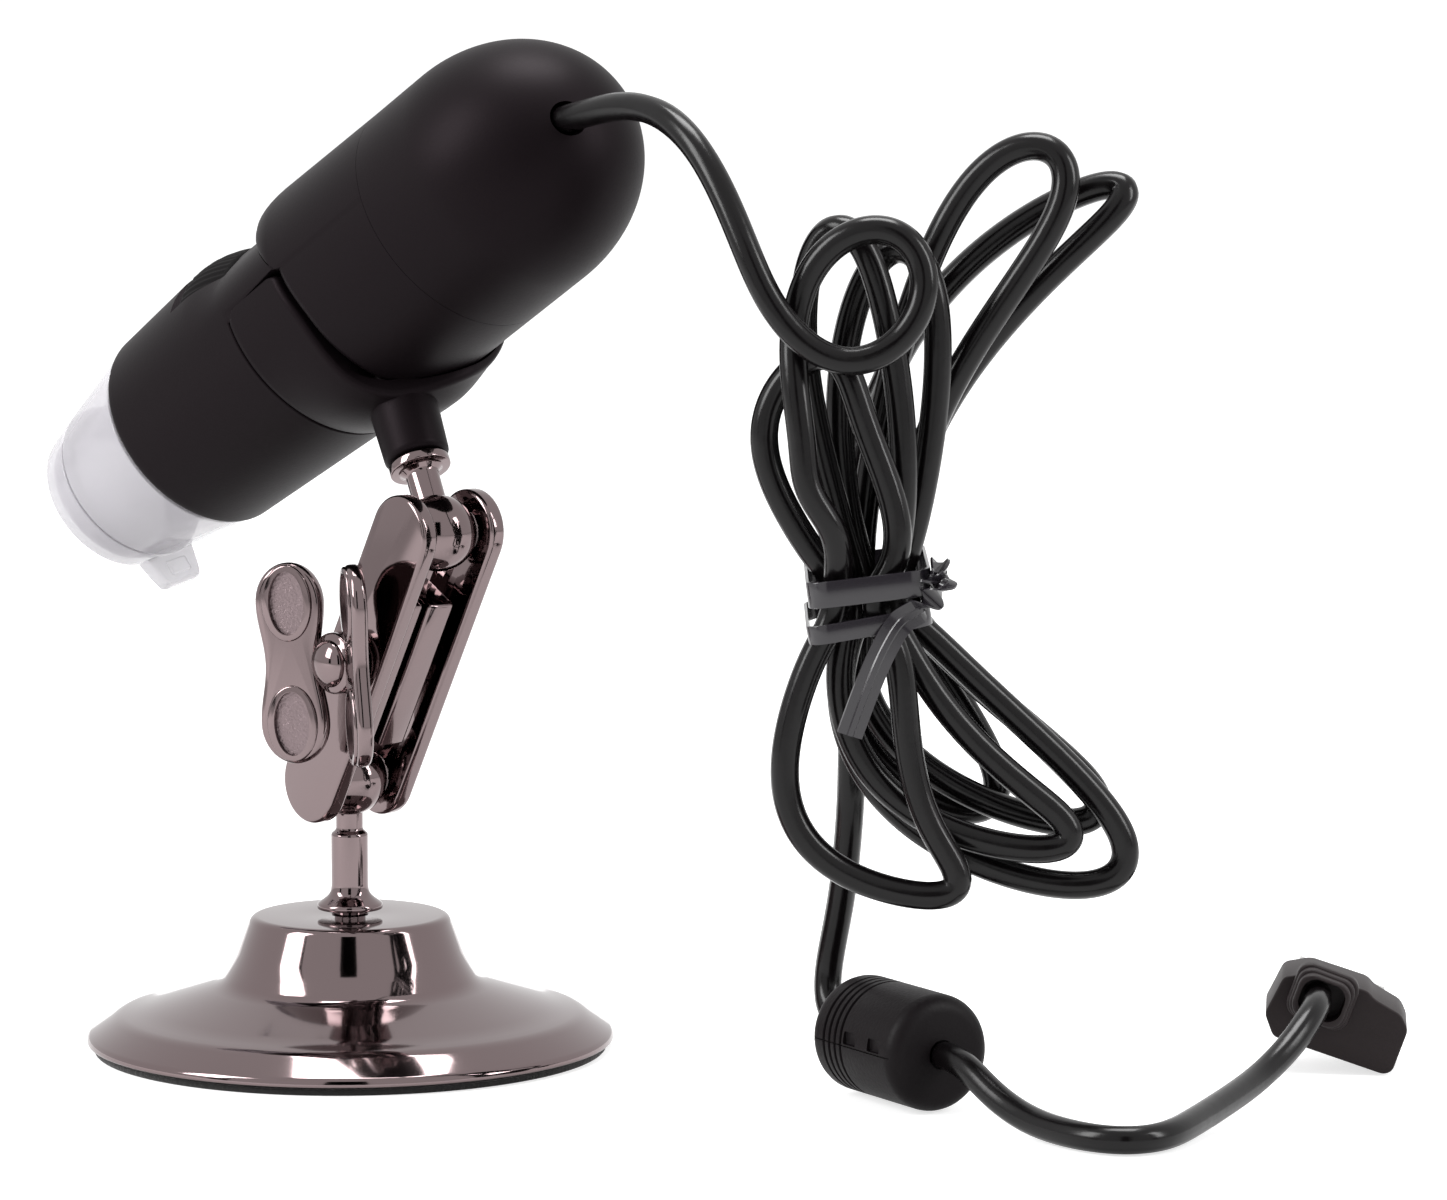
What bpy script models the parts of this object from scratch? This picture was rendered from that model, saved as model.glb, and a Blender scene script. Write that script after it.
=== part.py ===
"""USB digital microscope on a ball-jointed arm with a weighted round base.

Metres, +Z up. The origin is the centre of the base's underside, +X is to the right
and +Y is away from the viewer. The head is turned nose-down to the left.
"""

import math

import bmesh
import bpy
import numpy as np
from mathutils import Matrix, Vector

for old in list(bpy.data.objects):
    bpy.data.objects.remove(old, do_unlink=True)

# Shared clearances and counts
GAP = 0.0003
WELD = 0.0000005
OVERRUN = 0.0010
ROUND_STEPS = 32
SMALL_STEPS = 16
EDGE_SEGMENTS = 2

# Base: felt pad, pressed shell, cast weight
PAD_R = 0.0340
PAD_T = 0.0008
BASE_R = 0.0350
RIM_ROUND = 0.0005
BEVEL_R = 0.0309
BEVEL_H = 0.0049
FOOT_R = 0.0170
FOOT_H = 0.0090
HUB_LOW_R = 0.0164
HUB_LOW_H = 0.0100
HUB_TOP_R = 0.0129
HUB_TOP_H = 0.0179
HUB_ROUND = 0.0009
SHELL_T = 0.0009
SADDLE_T = 0.0030

# Post: a stud with the lower ball, held by a nut inside the hub
POST_R = 0.00205
POST_FLANGE_R = 0.00433
POST_FLANGE_LIFT = 0.0008
POST_FLANGE_T = 0.0007
POST_CONE_H = 0.0020
POST_STEM_R = 0.00246
POST_NECK_R = 0.0018
POST_NECK_LEN = 0.0022
NUT_FLATS = 0.0070
NUT_T = 0.0030
NUT_TAIL = 0.0012
BALL_R = 0.0050
LOWER_BALL_H = 0.0362

# Arm: two plates, a spacer bar and the clamp screw
ARM_LEN = 0.0390
ARM_LEAN_DEG = 28.8
ARM_TURN_DEG = 48.0
PLATE_W = 0.0108
PLATE_T = 0.0024
PLATE_GAP = 0.0090
PLATE_ROUND = 0.0005
RIB_T = 0.0022
RIB_W = 0.0084
BAR_T = 0.0043
BAR_W = 0.0090
BAR_STANDOFF = 0.0009
BAR_FROM = 0.0082
BAR_TOP_ROOM = 0.0084
SCREW_R = 0.0016
SCREW_HEAD_R = 0.0037
SCREW_HEAD_T = 0.0022
SCREW_CROWN_SHARES = ((0.6, 0.92), (1.0, 0.5))
WASHER_R = 0.0038
WASHER_T = 0.0005

# Wing nut
NUT_HUB_R = 0.00405
NUT_HUB_T = 0.0024
NUT_DOME_R = 0.0031
NUT_DOME_T = 0.0016
NUT_BORE_DEPTH = 0.0027
WING_HALF_LEN = 0.0132
LOBE_OFFSET = 0.0079
LOBE_HALF_W = 0.0047
WAIST_HALF_W = 0.0037
WING_T = 0.0021
WING_ROUND = 0.0006
WING_RISE_DEG = 29.0
WING_ROOT = 0.0026
WING_ROOT_H = 0.0012
WING_TURN_DEG = 4.0
DIMPLE_HALF_W = 0.0025
DIMPLE_HALF_L = 0.0042
DIMPLE_DEPTH = 0.0004

# Upper ball stud
STUD_R = 0.0022
STUD_FLANGE_AT = 0.0093
STUD_FLANGE_R = 0.00405
STUD_FLANGE_T = 0.0012
STUD_THREAD_R = 0.0019
STUD_THREAD_LEN = 0.0060

# Head: unit directions of the stud axis and of the barrel axis, nose to tail
STUD_DIRECTION_SHARES = (-0.2600, 0.4972, 0.8278)
BARREL_DIRECTION_SHARES = (0.6348, -0.5579, 0.5345)
AXIS_HEIGHT = 0.03718

# Front barrel; "ahead" is the distance forward of the stud axis
NOSE_AHEAD = 0.0393
NOSE_R = 0.0148
NOSE_ROUND = 0.0007
SHOULDER_AHEAD = 0.0130
SHOULDER_R = 0.0162
SHOULDER_LEN = 0.0018
NECK_R = 0.0138
NECK_BEHIND = 0.0030
DISH_LEN = 0.0078
DISH_HALF_DEG = 86.0
BARREL_WALL = 0.0014

# Focus wheel, seen in a window on top of the barrel, and the lens carriage
WHEEL_MID_AHEAD = 0.0181
WHEEL_LEN = 0.0078
WHEEL_R = 0.0144
WHEEL_CROWN = 0.0004
WHEEL_BORE_R = 0.0112
WHEEL_RIBS = 36
RIB_DEPTH = 0.0003
WINDOW_HALF_DEG = 62.0
CARRIAGE_ROOM = 0.0076
CARRIAGE_LEN = 0.0140
CARRIAGE_WALL = 0.0030
LENS_T = 0.0030
LENS_BULGE = 0.0009
LENS_LIP = 0.0010

# Light ring
RING_INSET = 0.0047
RING_AHEAD = NOSE_AHEAD - RING_INSET
CARRIAGE_AHEAD = RING_AHEAD - CARRIAGE_ROOM
RING_T = 0.0010
RING_BORE_R = 0.0078
LED_COUNT = 8
LED_CIRCLE_R = 0.0101
LED_R = 0.0010
LED_LEN = 0.0018
LED_TIP_SHARES = (0.7, 0.3)

# Clear nozzle and its cap
NOZZLE_R = 0.0144
NOZZLE_SLOPE_SHARE = 0.190
NOZZLE_LEN = 0.0185
NOZZLE_WALL = 0.0012
NOZZLE_STEPS = 28
SPIGOT_LEN = 0.0028
CAP_LEN = 0.0039
CAP_WALL = 0.0009
CAP_FLOOR = 0.0012
CAP_ROUND = 0.0006
TAB_W = 0.0098
TAB_LEN = 0.0041
TAB_T = 0.0020
TAB_ROUND = 0.0004
TAB_TIP_SHARE = 0.30
TAB_TURN_DEG = 201.0
TAB_MARK_T = 0.0004
TAB_MARK_SHARE = 0.50
TAB_MARK_W_SHARE = 0.40

# Holder clip
CLIP_AHEAD = 0.0109
CLIP_BEHIND = 0.0011
CLIP_R = 0.0163
CLIP_FLARE = 0.0004
CLIP_HALF_DEG = 91.0
CLIP_CORNER = 0.0022
BOSS_R = 0.00465
BOSS_TOP_R = 0.0049
BOSS_ROUND = 0.0007
GRIP_FROM_DEG = 195.0
GRIP_TO_DEG = 264.0
GRIP_RISE = 0.0026
GRIP_LEN = 0.0228
GRIP_SWELL_SHARES = (
    (0.2, 0.45), (0.36, 0.78), (0.56, 1.0), (0.7, 0.98), (0.86, 0.72), (0.96, 0.32),
)

# Rear shell and tail cap
TAIL_R = 0.0167
TAIL_WALL = 0.0015
TAIL_BEHIND = 0.0015
TAIL_ROUND = 0.0014
VISOR_AHEAD = 0.0096
VISOR_LEN = 0.0091
VISOR_HALF_DEG = 87.0
SEAM_BEHIND = 0.0192
DOME_BEHIND = 0.0290
DOME_LEN = 0.0201
LIP_LEN = 0.0030
LIP_T = 0.0012

# Snapshot button, its switch and the boards
BUTTON_BEHIND = 0.0116
BUTTON_TURN_DEG = -30.0
BUTTON_R = 0.0030
BUTTON_PROUD = 0.0008
BUTTON_TOP_SHARE = 0.8
BUTTON_FLANGE = 0.0009
BUTTON_FLANGE_T = 0.0008
BUTTON_TRAVEL = 0.0005
SWITCH_W = 0.0044
SWITCH_T = 0.0012
SWITCH_BOARD_L = 0.0070
SWITCH_BOARD_T = 0.0008
BOARD_BEHIND = 0.0046
BOARD_T = 0.0012
SENSOR_W = 0.0080
SENSOR_T = 0.0012

# Cord and what is on it
CORD_R = 0.0018
CORD_SIDES_RES = 2
HANK_SIDES_RES = 1
HOLE_DROP = 0.0032
HOLE_SIDE = 0.0054
HOLE_PLAY = 0.0005
EXIT_DIRECTION_SHARES = (-0.347, 0.036, 0.937)
ANCHOR_R = 0.0030
ANCHOR_LEN = 0.0040
ANCHOR_INSET = 0.0044
FERRITE_R = 0.0075
FERRITE_LEN = 0.0200
FERRITE_ROUND = 0.0022
FERRITE_TURN_DEG = -58.7
FERRITE_AT = (0.0720, -0.0380, 0.0078)
FERRITE_WALL = 0.0013
FERRITE_GROOVES = 4
GROOVE_W = 0.0005
GROOVE_DEPTH = 0.0004
GROOVE_PITCH = 0.0013
CORE_R = 0.0058
PLUG_AT = (0.1294, -0.0200, 0.0073)
PLUG_TURN_DEG = -5.0
PLUG_TILT_DEG = 0.0
PLUG_ROLL_DEG = 20.0
PLUG_W = 0.0182
PLUG_H = 0.0100
PLUG_LEN = 0.0120
PLUG_ROUND = 0.0006
PLUG_OUTLINE_SHARES = [
    (0.59, 0.94), (0.93, 0.58), (1.0, -0.50), (0.77, -1.0), (-0.90, -0.92),
    (-1.0, -0.76), (-1.0, 0.40), (-0.83, 0.72), (-0.40, 0.86), (-0.27, 1.0),
]
COLLAR_W = 0.0084
COLLAR_H = 0.0074
COLLAR_LEN = 0.0055
COLLAR_SIDE = 0.0029
COLLAR_LIFT = 0.0025
COLLAR_ROUND = 0.0018
ENTRY_SIDE = 0.0036
ENTRY_LIFT = 0.0026
CONTACT_SHELL_W = 0.0120
CONTACT_SHELL_H = 0.0045
CONTACT_SHELL_LEN = 0.0120
CONTACT_SHELL_T = 0.0003
TONGUE_H = 0.0018
TONGUE_W = 0.0105

# Hank: the tie's centre, the strands' layers and the lobes
WAIST_AT = (0.0684, -0.0417, 0.0657)
LAYER_PITCH = 0.0041
STRAND_HALF_STEP = 0.0022
WAIST_STRAIGHT = 0.0040
HANK_TOP_H = 0.0840
HANK_END_H = 0.0460
HANK_END_X = 0.0660
HANK_TOP_X = 0.0596
LOBE_POINTS = 24
LEAST_CORD_GAP = 0.0004
TIE_T = 0.0006
TIE_ROOM = 0.0010
TIE_W = 0.0045
TIE_STEPS = 28


def finish(name, colour, roughness, metallic, alpha=1.0):
    """A material with one Principled shader."""
    material = bpy.data.materials.new(name)
    material.use_nodes = True
    shader = material.node_tree.nodes["Principled BSDF"]
    shader.inputs["Base Color"].default_value = (*colour, 1.0)
    shader.inputs["Roughness"].default_value = roughness
    shader.inputs["Metallic"].default_value = metallic
    shader.inputs["Alpha"].default_value = alpha
    material.diffuse_color = (*colour, alpha)
    return material


NICKEL = ("black_nickel", (0.20, 0.17, 0.17), 0.10, 1.0)
FELT = ("felt", (0.02, 0.02, 0.02), 0.95, 0.0)
IRON = ("cast_iron", (0.10, 0.10, 0.11), 0.60, 1.0)
SOFT_BLACK = ("soft_touch_black", (0.020, 0.018, 0.020), 0.55, 0.0)
RIBBED_BLACK = ("ribbed_black", (0.015, 0.014, 0.015), 0.60, 0.0)
CLEAR = ("clear_plastic", (0.90, 0.89, 0.92), 0.08, 0.0, 0.35)
GLASS = ("lens_glass", (0.80, 0.86, 0.90), 0.02, 0.0, 0.35)
BOARD = ("green_board", (0.02, 0.12, 0.05), 0.45, 0.0)
CHIP = ("chip_black", (0.02, 0.02, 0.02), 0.35, 0.0)
LED = ("led_white", (0.90, 0.90, 0.80), 0.20, 0.0)
CORD = ("cord_black", (0.018, 0.016, 0.018), 0.32, 0.0)
TIE = ("tie_black", (0.03, 0.03, 0.035), 0.25, 0.0)
MOULDED = ("moulded_black", (0.035, 0.032, 0.034), 0.50, 0.0)
STEEL = ("bright_steel", (0.60, 0.60, 0.62), 0.20, 1.0)


def frame(origin, x_axis, z_axis):
    """The matrix that stands at origin with these x and z directions."""
    z = Vector(z_axis).normalized()
    x = Vector(x_axis)
    x = (x - z * x.dot(z)).normalized()
    y = z.cross(x)
    matrix = Matrix((x, y, z)).transposed().to_4x4()
    matrix.translation = Vector(origin)
    return matrix


def guide(name, matrix):
    """An empty that carries the pieces of one moving group."""
    empty = bpy.data.objects.new(name, None)
    bpy.context.scene.collection.objects.link(empty)
    empty.matrix_world = matrix
    return empty


def to_mesh(bm, name):
    bmesh.ops.remove_doubles(bm, verts=bm.verts, dist=WELD)
    bmesh.ops.recalc_face_normals(bm, faces=bm.faces)
    mesh = bpy.data.meshes.new(name)
    bm.to_mesh(mesh)
    bm.free()
    return mesh


def add(name, mesh, group, look, place=None):
    """Puts a mesh in the scene as a named piece, inside its group's frame."""
    piece = bpy.data.objects.new(name, mesh)
    bpy.context.scene.collection.objects.link(piece)
    piece.parent = group
    piece.matrix_basis = place or Matrix.Identity(4)
    mesh.materials.append(finish(*look))
    mesh.shade_smooth()
    mesh.set_sharp_from_angle(angle=math.radians(35))
    return piece


def tool(mesh, group, place=None):
    """A cutting or joining shape, left out of the part itself."""
    shape = bpy.data.objects.new("tool", mesh)
    bpy.context.scene.collection.objects.link(shape)
    shape.parent = group
    shape.matrix_basis = place or Matrix.Identity(4)
    shape.hide_render = True
    shape.display_type = "WIRE"
    return shape


def boolean(piece, operation, shape):
    modifier = piece.modifiers.new(operation.lower(), "BOOLEAN")
    modifier.operation = operation
    modifier.object = shape
    modifier.solver = "EXACT"


def cut(piece, mesh, group, place=None):
    boolean(piece, "DIFFERENCE", tool(mesh, group, place))


def join(piece, mesh, group, place=None):
    boolean(piece, "UNION", tool(mesh, group, place))


def arc(centre_r, centre_z, radius, start_deg, end_deg, count):
    """Profile points on a round stretch, angles from +r towards +z."""
    points = []
    for i in range(count + 1):
        angle = math.radians(start_deg + (end_deg - start_deg) * i / count)
        points.append((centre_r + radius * math.cos(angle), centre_z + radius * math.sin(angle)))
    return points


def lathe(profile, steps=ROUND_STEPS):
    """Turns a closed profile of (radius, height) points about Z."""
    bm = bmesh.new()
    verts = [bm.verts.new((r, 0.0, z)) for r, z in profile]
    count = len(verts)
    for i in range(count):
        on_axis = max(profile[i][0], profile[(i + 1) % count][0]) < WELD
        if not on_axis:
            bm.edges.new((verts[i], verts[(i + 1) % count]))
    bmesh.ops.spin(
        bm, geom=bm.verts[:] + bm.edges[:], cent=(0, 0, 0), axis=(0, 0, 1),
        angle=math.tau, steps=steps, use_merge=True,
    )
    return to_mesh(bm, "turned")


def sector(profile, start_deg, end_deg, steps):
    """Sweeps a closed profile of (radius, height) points part of the way round Z."""
    bm = bmesh.new()
    start = math.radians(start_deg)
    points = [(r * math.cos(start), r * math.sin(start), z) for r, z in profile]
    bm.faces.new([bm.verts.new(point) for point in points])
    bmesh.ops.spin(
        bm, geom=bm.verts[:] + bm.edges[:] + bm.faces[:], cent=(0, 0, 0), axis=(0, 0, 1),
        angle=math.radians(end_deg - start_deg), steps=steps,
    )
    return to_mesh(bm, "sector")


def slab(outline, depth, rounding=0.0, both=False):
    """A flat piece from an XY outline, depth thick along +Z, its top edge rounded."""
    bm = bmesh.new()
    face = bm.faces.new([bm.verts.new((x, y, 0.0)) for x, y in outline])
    raised = bmesh.ops.extrude_face_region(bm, geom=[face])["geom"]
    bmesh.ops.translate(
        bm, vec=(0, 0, depth), verts=[v for v in raised if isinstance(v, bmesh.types.BMVert)]
    )
    bm.faces.ensure_lookup_table()
    if rounding:
        flat = [e for e in bm.edges if abs(e.verts[0].co.z - e.verts[1].co.z) < WELD]
        chosen = [e for e in flat if both or e.verts[0].co.z > depth / 2]
        bmesh.ops.bevel(
            bm, geom=chosen, offset=rounding, segments=EDGE_SEGMENTS, profile=0.5,
            affect="EDGES", clamp_overlap=True,
        )
    return to_mesh(bm, "slab")


def block(low, high, rounding=0.0):
    """A box between two corners, with rounded edges where asked."""
    bm = bmesh.new()
    bmesh.ops.create_cube(bm, size=1.0)
    size = Vector(high) - Vector(low)
    middle = (Vector(high) + Vector(low)) / 2
    bmesh.ops.scale(bm, vec=size, verts=bm.verts)
    bmesh.ops.translate(bm, vec=middle, verts=bm.verts)
    if rounding:
        bmesh.ops.bevel(
            bm, geom=bm.edges[:], offset=rounding, segments=EDGE_SEGMENTS, profile=0.5,
            affect="EDGES", clamp_overlap=True,
        )
    return to_mesh(bm, "block")


def rod(radius, low, high, steps=SMALL_STEPS):
    return lathe([(0.0, low), (radius, low), (radius, high), (0.0, high)], steps)


def along_x(origin=(0.0, 0.0, 0.0)):
    """Stands a turned shape so that its axis points along +X."""
    return frame(origin, (0, 0, -1), (1, 0, 0))


def stadium(half_width, length, count):
    """A round-ended outline with its end centres at (0, 0) and (0, length)."""
    low = arc(0.0, 0.0, half_width, 180, 360, count)
    high = arc(0.0, length, half_width, 0, 180, count)
    return low + high


# Base
def build_base():
    root = guide("base_group", Matrix.Identity(4))
    low = PAD_T + GAP
    add("base_pad", lathe([(0.0, 0.0), (PAD_R, 0.0), (PAD_R, PAD_T), (0.0, PAD_T)]), root, FELT)
    hole_r = POST_R + GAP
    outer = [(BASE_R - RIM_ROUND, low)]
    outer += arc(BASE_R - RIM_ROUND, low + RIM_ROUND, RIM_ROUND, -60, 30, 2)
    outer += [(BEVEL_R, BEVEL_H)]
    outer += [(FOOT_R + (HUB_LOW_H - FOOT_H), FOOT_H - GAP), (FOOT_R, FOOT_H + GAP)]
    outer += [(HUB_LOW_R, HUB_LOW_H)]
    outer += arc(HUB_TOP_R - HUB_ROUND, HUB_TOP_H - HUB_ROUND, HUB_ROUND, 20, 90, 3)
    outer += [(hole_r, HUB_TOP_H)]
    under = HUB_TOP_H - SHELL_T
    inner = [(hole_r, under), (HUB_TOP_R - 2 * SHELL_T, under)]
    inner += [(HUB_LOW_R - SHELL_T, FOOT_H), (FOOT_R - SHELL_T, FOOT_H - SHELL_T)]
    inner += [(BEVEL_R - SHELL_T, BEVEL_H - SHELL_T), (BASE_R - 2 * RIM_ROUND - SHELL_T, low)]
    add("base_shell", lathe(outer + inner, 2 * SMALL_STEPS), root, NICKEL)
    weight = [(0.0, low), (BASE_R - 2 * RIM_ROUND - SHELL_T - 2 * GAP, low)]
    weight += [(BEVEL_R - SHELL_T - GAP, BEVEL_H - SHELL_T - GAP)]
    weight += [(FOOT_R - SHELL_T - GAP, FOOT_H - SHELL_T - GAP)]
    weight += [(HUB_LOW_R - SHELL_T - 2 * GAP, FOOT_H), (HUB_TOP_R - SHELL_T, FOOT_H + GAP)]
    weight += [(0.0, FOOT_H + GAP)]
    add("base_weight", lathe(weight, 20), root, IRON)
    return root


def build_post():
    """The post turns in the hub, so its nut turns with it."""
    group = guide("post_group", Matrix.Identity(4))
    under = HUB_TOP_H - SHELL_T - GAP
    flange = HUB_TOP_H + POST_FLANGE_LIFT
    top = flange + POST_FLANGE_T
    neck = LOWER_BALL_H - BALL_R - POST_NECK_LEN + (BALL_R - math.sqrt(BALL_R**2 - POST_NECK_R**2))
    profile = [(0.0, under - NUT_T - NUT_TAIL), (POST_R, under - NUT_T - NUT_TAIL)]
    profile += [(POST_R, flange), (POST_FLANGE_R, flange), (POST_FLANGE_R, top)]
    profile += [(POST_STEM_R, top + POST_CONE_H), (POST_STEM_R, neck), (POST_NECK_R, neck)]
    start = -math.degrees(math.acos(POST_NECK_R / BALL_R))
    profile += arc(0.0, LOWER_BALL_H, BALL_R, start, 90, 8)
    profile[-1] = (0.0, LOWER_BALL_H + BALL_R)
    add("lower_ball_stud", lathe(profile, 20), group, NICKEL)
    corner_r = NUT_FLATS / 2 / math.cos(math.pi / 6)
    hexagon = [(x, y) for x, y in arc(0.0, 0.0, corner_r, 0, 300, 5)]
    nut = add(
        "post_nut", slab(hexagon, NUT_T), group, NICKEL, Matrix.Translation((0, 0, under - NUT_T))
    )
    bore = rod(POST_R + GAP, -OVERRUN, NUT_T + OVERRUN)
    cut(nut, bore, group, Matrix.Translation((0, 0, under - NUT_T)))
    return group


# Arm frame: X is the near plate's outward normal, Z runs from the lower ball to the upper
TURN = math.radians(ARM_TURN_DEG)
LEAN = math.radians(ARM_LEAN_DEG)
NEAR_NORMAL = Vector((-math.sin(TURN), -math.cos(TURN), 0.0))
LEVEL = Vector((math.cos(TURN), -math.sin(TURN), 0.0))
ARM_AXIS = Vector((0, 0, 1)) * math.cos(LEAN) + LEVEL * math.sin(LEAN)
LOWER_BALL = Vector((0.0, 0.0, LOWER_BALL_H))
UPPER_BALL = LOWER_BALL + ARM_AXIS * ARM_LEN
ARM_MID = ARM_LEN / 2
BAR_TO = ARM_LEN - BAR_TOP_ROOM
PLATE_IN = PLATE_GAP / 2
PLATE_OUT = PLATE_IN + PLATE_T


def build_plate(name, group, side):
    """One arm plate; side is +1 for the near plate, which carries a rib."""
    mesh = slab(stadium(PLATE_W / 2, ARM_LEN, 10), PLATE_T, PLATE_ROUND)
    place = frame((side * PLATE_IN, 0, 0), (0, side, 0), (side, 0, 0))
    plate = add(name, mesh, group, NICKEL, place)
    if side > 0:
        rib = block(
            (PLATE_IN - RIB_T, -RIB_W / 2, BAR_FROM), (PLATE_IN + GAP, RIB_W / 2, BAR_TO)
        )
        join(plate, rib, group)
    for height in (0.0, ARM_LEN):
        pocket = lathe(ball_profile(BALL_R + GAP, 8), SMALL_STEPS)
        cut(plate, pocket, group, along_x((0, 0, height)))
    hole = rod(SCREW_R + GAP, -PLATE_OUT - OVERRUN, PLATE_OUT + OVERRUN)
    cut(plate, hole, group, along_x((0, 0, ARM_MID)))
    return plate


def ball_profile(radius, count):
    profile = arc(0.0, 0.0, radius, -90, 90, count)
    profile[0] = (0.0, -radius)
    profile[-1] = (0.0, radius)
    return profile


def build_arm():
    group = guide("arm_group", frame(LOWER_BALL, NEAR_NORMAL, ARM_AXIS))
    build_plate("plate_near", group, 1)
    build_plate("plate_far", group, -1)
    bar_near = PLATE_IN - RIB_T - BAR_STANDOFF
    bar = add(
        "spacer_bar",
        block((bar_near - BAR_T, -BAR_W / 2, BAR_FROM), (bar_near, BAR_W / 2, BAR_TO), PLATE_ROUND),
        group, NICKEL,
    )
    hole = rod(SCREW_R + GAP, -PLATE_OUT, PLATE_OUT)
    cut(bar, hole, group, along_x((0, 0, ARM_MID)))
    head = -PLATE_OUT - GAP
    tip = PLATE_OUT + WASHER_T + GAP + NUT_BORE_DEPTH
    profile = [(0.0, head - SCREW_HEAD_T)]
    for width, height in SCREW_CROWN_SHARES:
        profile += [(SCREW_HEAD_R * width, head - SCREW_HEAD_T * height)]
    profile += [(SCREW_HEAD_R, head), (SCREW_R, head), (SCREW_R, tip), (0.0, tip)]
    add("clamp_screw", lathe(profile, 20), group, NICKEL, along_x((0, 0, ARM_MID)))
    low = PLATE_OUT + GAP
    ring = [(SCREW_R + GAP, low), (WASHER_R, low), (WASHER_R, low + WASHER_T)]
    ring += [(SCREW_R + GAP, low + WASHER_T)]
    add("clamp_washer", lathe(ring, 20), group, NICKEL, along_x((0, 0, ARM_MID)))
    return group


def wing_outline():
    """The peanut outline of one wing: two lobes and a waist."""
    points = []
    count = 28
    for i in range(count):
        angle = math.tau * i / count
        along = WING_HALF_LEN * math.sin(angle)
        reach = abs(along)
        if reach > LOBE_OFFSET:
            share = (reach - LOBE_OFFSET) / (WING_HALF_LEN - LOBE_OFFSET)
            half = LOBE_HALF_W * math.sqrt(max(0.0, 1 - share**2))
        else:
            swell = (1 - math.cos(math.pi * reach / LOBE_OFFSET)) / 2
            half = WAIST_HALF_W + (LOBE_HALF_W - WAIST_HALF_W) * swell
        side = 1 if math.cos(angle) > 0 else -1
        if abs(math.cos(angle)) < 0.001:
            half = 0.0
        points.append((side * half, along))
    return points


def build_wing_nut():
    """X is level, Y is the wings' long way and Z is the clamp screw's axis."""
    centre = LOWER_BALL + ARM_AXIS * ARM_MID
    turn = Matrix.Rotation(math.radians(WING_TURN_DEG), 4, "Z")
    group = guide("wing_group", frame(centre, LEVEL, NEAR_NORMAL) @ turn)
    low = PLATE_OUT + WASHER_T + 2 * GAP
    top = low + NUT_HUB_T
    bore = SCREW_R + GAP
    hub = [(0.0, low + NUT_BORE_DEPTH), (bore, low + NUT_BORE_DEPTH), (bore, low)]
    hub += [(NUT_HUB_R, low), (NUT_HUB_R, top), (NUT_DOME_R, top + GAP)]
    for i in range(1, 4):
        angle = math.pi / 2 * i / 4
        hub += [(NUT_DOME_R * math.cos(angle), top + GAP + NUT_DOME_T * math.sin(angle))]
    hub += [(0.0, top + GAP + NUT_DOME_T)]
    nut = add("wing_nut", lathe(hub, 24), group, NICKEL)
    for side in (1, -1):
        rise = math.radians(WING_RISE_DEG)
        out = Vector((side * math.cos(rise), 0, math.sin(rise)))
        face = Vector((-side * math.sin(rise), 0, math.cos(rise)))
        root = Vector((side * WING_ROOT, 0, low + WING_ROOT_H))
        middle = root + out * LOBE_HALF_W
        place = frame(middle - face * WING_T / 2, out, face)
        join(nut, slab(wing_outline(), WING_T, WING_ROUND, True), group, place)
        for end in (1, -1):
            oval = [(x * DIMPLE_HALF_W, y * DIMPLE_HALF_L) for x, y in arc(0, 0, 1, 0, 334, 13)]
            spot = middle + face * (WING_T / 2 - DIMPLE_DEPTH) + Vector((0, end * LOBE_OFFSET, 0))
            cut(nut, slab(oval, DIMPLE_DEPTH + OVERRUN), group, frame(spot, out, face))
    return group


# Head frame: origin at the upper ball, X along the stud, Z along the barrel to the tail
STUD_AXIS = Vector(STUD_DIRECTION_SHARES).normalized()
BARREL_AXIS = Vector(BARREL_DIRECTION_SHARES).normalized()
ON_AXIS = Matrix.Translation((AXIS_HEIGHT, 0, 0))


def build_stud():
    group = guide("stud_group", frame(UPPER_BALL, NEAR_NORMAL, STUD_AXIS))
    end = math.degrees(math.acos(STUD_R / BALL_R))
    profile = arc(0.0, 0.0, BALL_R, -90, end, 8)
    profile[0] = (0.0, -BALL_R)
    top = STUD_FLANGE_AT + STUD_FLANGE_T
    profile += [(STUD_R, STUD_FLANGE_AT), (STUD_FLANGE_R, STUD_FLANGE_AT), (STUD_FLANGE_R, top)]
    profile += [(STUD_THREAD_R, top), (STUD_THREAD_R, top + STUD_THREAD_LEN)]
    profile += [(0.0, top + STUD_THREAD_LEN)]
    add("upper_ball_stud", lathe(profile, 20), group, NICKEL)
    return group


def barrel_r(ahead):
    """The front barrel's tapered radius at a distance forward of the stud axis."""
    share = (NOSE_AHEAD - ahead) / (NOSE_AHEAD - SHOULDER_AHEAD)
    return NOSE_R + (SHOULDER_R - NOSE_R) * share


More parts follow.
